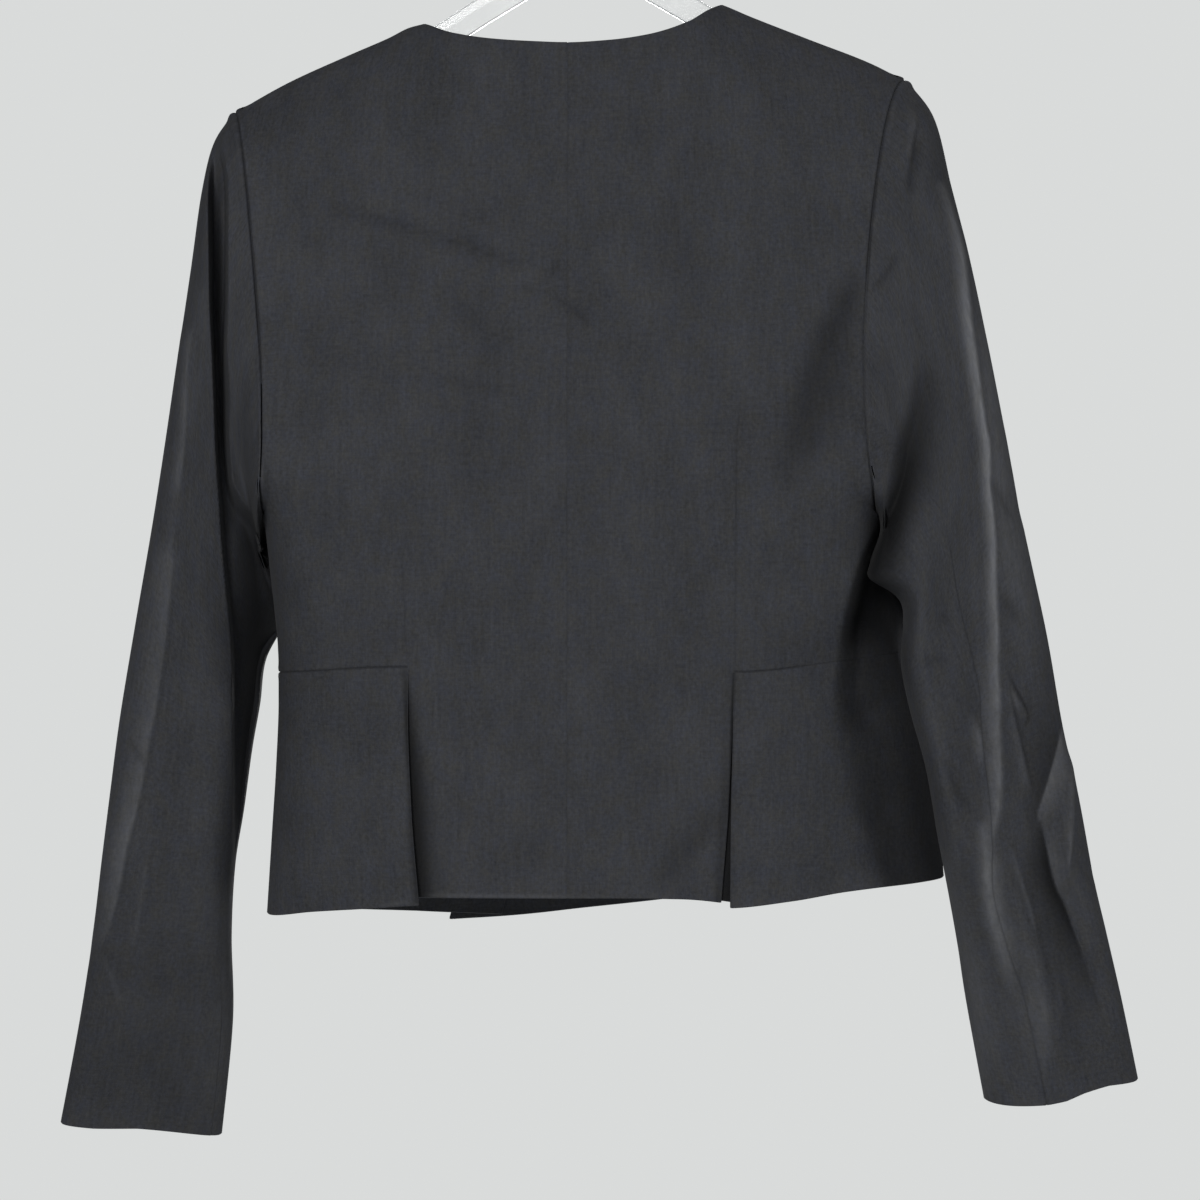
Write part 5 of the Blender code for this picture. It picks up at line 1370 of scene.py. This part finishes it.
def hook():
    r, (fx, fz), (nx, nz) = HOOK["r"], HOOK["foot"], HOOK["neck"]
    cz = WIRE / 2 - r
    line = [(fx, fz), ((fx + nx) / 2, (fz + nz) / 2), (nx, nz)]
    for a in np.arange(-78.0, HOOK["end"] + 1, 11.0):
        line.append((r * math.cos(math.radians(a)), cz + r * math.sin(math.radians(a))))
    rows = [(i, *p) for i, p in enumerate(line)]
    k = np.linspace(0, len(line) - 1, (len(line) - 1) * 4 + 1)
    xs, zs = spline(rows, k, 1), spline(rows, k, 2)
    curve = bpy.data.curves.new("hook_wire", "CURVE")
    curve.dimensions = "3D"
    curve.bevel_depth = WIRE / 2 * MM
    curve.bevel_resolution = 6
    curve.use_fill_caps = True
    s = curve.splines.new("POLY")
    s.points.add(len(k) - 1)
    for i, p in enumerate(s.points):
        p.co = (xs[i] * MM, 0.0, zs[i] * MM, 1.0)
        p.radius = min(1.0, 0.35 + 0.65 * math.sqrt(min(1.0, (len(k) - 1 - i) / 3.0)))
    piece = from_curve("hanger_wire_hook", curve, bright_wire())
    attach(piece, "root")
    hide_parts("hanger_hook")


def button_mesh(name):
    """Turned four-hole button: a dished face inside a rolled rim."""
    R, T = BUTTON_R, BUTTON_T
    profile = ((0.0, 0.0), (R * 0.72, 0.0), (R * 0.9, 0.35), (R * 0.985, 1.0), (R, 1.9), (R * 0.97, 2.8),
               (R * 0.9, T - 0.12), (R * 0.83, T), (R * 0.76, T - 0.12), (R * 0.7, T - 0.55), (R * 0.6, T - 0.85), (R * 0.3, T - 0.95), (0.0, T - 0.95))
    bm = bmesh.new()
    ring = [bm.verts.new((r * MM, 0.0, z * MM)) for r, z in profile]
    edges = [bm.edges.new(e) for e in zip(ring[:-1], ring[1:])]
    bmesh.ops.spin(bm, geom=ring + edges, cent=(0, 0, 0), axis=(0, 0, 1), angle=2 * math.pi, steps=48, use_merge=True)
    bmesh.ops.remove_doubles(bm, verts=bm.verts[:], dist=1e-6)
    bmesh.ops.recalc_face_normals(bm, faces=bm.faces[:])
    mesh = bpy.data.meshes.new(name)
    bm.to_mesh(mesh)
    bm.free()
    return mesh


def holes_mesh():
    bm = bmesh.new()
    for sx in (-1, 1):
        for sy in (-1, 1):
            made = bmesh.ops.create_cone(bm, cap_ends=True, segments=16, radius1=1.05 * MM, radius2=1.05 * MM, depth=9 * MM)
            bmesh.ops.translate(bm, verts=made["verts"], vec=(sx * 1.9 * MM, sy * 1.9 * MM, 2 * MM))
    mesh = bpy.data.meshes.new("button_holes")
    bm.to_mesh(mesh)
    bm.free()
    return mesh


def thread_mesh():
    """Two bars of sewing thread across the holes."""
    bm = bmesh.new()
    for sy in (-1, 1):
        for k in (-0.32, 0.0, 0.32):
            line = [(-1.9, -1.0), (-1.75, 0.35), (-0.9, 0.62), (0.0, 0.7), (0.9, 0.62), (1.75, 0.35), (1.9, -1.0)]
            rings = []
            for i, (x, z) in enumerate(line):
                ring = []
                for a in range(6):
                    ang = a / 6 * 2 * math.pi
                    ring.append(bm.verts.new(((x) * MM, (sy * 1.9 + k + 0.2 * math.cos(ang)) * MM, (BUTTON_T - 0.95 + z + 0.2 * math.sin(ang)) * MM)))
                rings.append(ring)
            for r0, r1 in zip(rings[:-1], rings[1:]):
                for a in range(6):
                    bm.faces.new((r0[a], r0[(a + 1) % 6], r1[(a + 1) % 6], r1[a]))
            bm.faces.new(rings[0][::-1])
            bm.faces.new(rings[-1])
    bmesh.ops.recalc_face_normals(bm, faces=bm.faces[:])
    mesh = bpy.data.meshes.new("thread")
    bm.to_mesh(mesh)
    bm.free()
    mesh.shade_smooth()
    return mesh


def buttons():
    mat, thread_mat = resin(), suiting_thread()
    cut = bpy.data.objects.new("button_holes", holes_mesh())
    bpy.context.scene.collection.objects.link(cut)
    for i, z in enumerate(BUTTON_Z):
        x = float(smooth(CENTRE_FRONT, z))
        y = float(body_y(x, z, 1) + lift_front(1, np.array(x), z))
        e = 4.0
        dx = float(body_y(x + e, z, 1) - body_y(x - e, z, 1)) / (2 * e)
        dz = float(body_y(x, z + e, 1) - body_y(x, z - e, 1)) / (2 * e)
        n = Vector((-dx, 1.0, -dz)).normalized()
        obj = bpy.data.objects.new("tmp", button_mesh("tmp"))
        bpy.context.scene.collection.objects.link(obj)
        mod = obj.modifiers.new("holes", "BOOLEAN")
        mod.operation, mod.object, mod.solver = "DIFFERENCE", cut, "EXACT"
        mesh = bpy.data.meshes.new_from_object(obj.evaluated_get(bpy.context.evaluated_depsgraph_get()))
        bpy.data.objects.remove(obj)
        turn = Vector((0, 0, 1)).rotation_difference(n).to_matrix().to_4x4()
        place = Vector((x, y, z)) + n * 0.75
        turn.translation = place * MM
        mesh.transform(turn)
        mesh.materials.clear()
        mesh.shade_smooth()
        mesh.set_sharp_from_angle(angle=math.radians(35))
        piece = mesh_object(f"button_{i + 1}_turned", mesh, mat)
        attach(piece, "root")
        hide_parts(f"button_{i + 1}")
        buttonhole(i, x, z, thread_mat)
        thread = thread_mesh()
        thread.transform(turn)
        sewn = mesh_object(f"button_{i + 1}_thread", thread, thread_mat)
        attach(sewn, "root")
    bpy.data.objects.remove(cut)


def buttonhole(i, x, z, mat):
    """Worked edge of the hole that a button comes through, on the right front."""
    curve = bpy.data.curves.new("hole_edge", "CURVE")
    curve.dimensions = "3D"
    curve.bevel_depth = 0.55 * MM
    curve.bevel_resolution = 3
    s = curve.splines.new("POLY")
    turns = np.linspace(0, 2 * math.pi, 56, endpoint=False)
    s.points.add(len(turns) - 1)
    for p, a in zip(s.points, turns):
        px = x + 9.0 + 12.0 * np.sign(math.cos(a)) * abs(math.cos(a)) ** 0.4
        pz = z + 0.95 * math.sin(a) - 0.04 * (px - x)
        py = body_y(px, pz, 1) + lift_front(1, np.array(px), pz) + 0.25
        p.co = (float(px) * MM, float(py) * MM, float(pz) * MM, 1.0)
    s.use_cyclic_u = True
    piece = from_curve(f"buttonhole_{i + 1}_worked", curve, mat)
    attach(piece, "root")


def suiting_thread():
    mat, t, b = nodes_of("sewing_thread")
    at = value_node(t, "ShaderNodeTexCoord").outputs["Object"]
    ply = noise(t, at, 1.0, (3000.0, 3000.0), 2.0)
    ramp = value_node(t, "ShaderNodeValToRGB")
    ramp.color_ramp.elements[0].color = (0.012, 0.012, 0.014, 1)
    ramp.color_ramp.elements[1].color = (0.05, 0.051, 0.056, 1)
    link(t, ply, ramp.inputs["Fac"])
    link(t, ramp.outputs["Color"], b.inputs["Base Color"])
    b.inputs["Roughness"].default_value = 0.7
    return mat


# ------------------------------------------------------------------- studio
def studio():
    scene = bpy.context.scene
    scene.view_settings.view_transform = "Standard"
    scene.view_settings.look = "None"
    world = bpy.data.worlds.new("studio")
    world.use_nodes = True
    t = world.node_tree
    bg = t.nodes["Background"]
    path = t.nodes.new("ShaderNodeLightPath")
    shown = t.nodes.new("ShaderNodeMath")
    shown.operation = "MAXIMUM"
    t.links.new(path.outputs["Is Camera Ray"], shown.inputs[0])
    t.links.new(path.outputs["Is Transmission Ray"], shown.inputs[1])
    mix = t.nodes.new("ShaderNodeMix")
    mix.data_type = "RGBA"
    mix.inputs[6].default_value = (0.118, 0.122, 0.126, 1)     # soft light from all round
    mix.inputs[7].default_value = (0.695, 0.708, 0.704, 1)     # the pale room itself
    t.links.new(shown.outputs[0], mix.inputs[0])
    t.links.new(mix.outputs[2], bg.inputs["Color"])
    scene.world = world

    bm = bmesh.new()
    bmesh.ops.create_circle(bm, cap_ends=True, segments=96, radius=2.0)
    mesh = bpy.data.meshes.new("floor")
    bm.to_mesh(mesh)
    bm.free()
    floor = bpy.data.objects.new("floor", mesh)
    floor.location = (0, 0, -1.3)
    scene.collection.objects.link(floor)
    mat, t, b = nodes_of("pale_floor")
    b.inputs["Base Color"].default_value = (0.78, 0.79, 0.785, 1)
    b.inputs["Roughness"].default_value = 0.9
    b.inputs["Specular IOR Level"].default_value = 0.1
    mesh.materials.append(mat)

    def area(name, at, aim, size, power):
        light = bpy.data.lights.new(name, "AREA")
        light.shape, light.size, light.energy = "DISK", size, power
        obj = bpy.data.objects.new(name, light)
        obj.location = at
        obj.rotation_euler = (Vector(aim) - Vector(at)).to_track_quat("-Z", "Y").to_euler()
        obj.visible_camera = obj.visible_transmission = False
        scene.collection.objects.link(obj)

    area("key", (-1.15, -4.05, 0.98), (0.0, 0.0, -0.45), 1.6, 116.0)
    area("fill", (0.9, -2.7, 0.3), (0.0, 0.0, -0.45), 1.4, 5.0)
    area("right_side", (2.4, -0.6, 0.2), (0.25, 0.0, -0.45), 0.9, 9.0)
    area("far_side", (0.15, 2.75, 0.4), (0.0, 0.0, -0.45), 1.2, 60.0)

    cam = bpy.data.cameras.new("camera")
    cam.sensor_width = 36.0
    cam.lens = 100.0
    cam.clip_end = 100.0
    obj = bpy.data.objects.new("camera", cam)
    obj.location = EYE * MM
    obj.rotation_euler = (math.radians(90), 0, 0)
    scene.collection.objects.link(obj)
    scene.camera = obj


studio()
cloth_pieces()
hanger()
hook()
buttons()
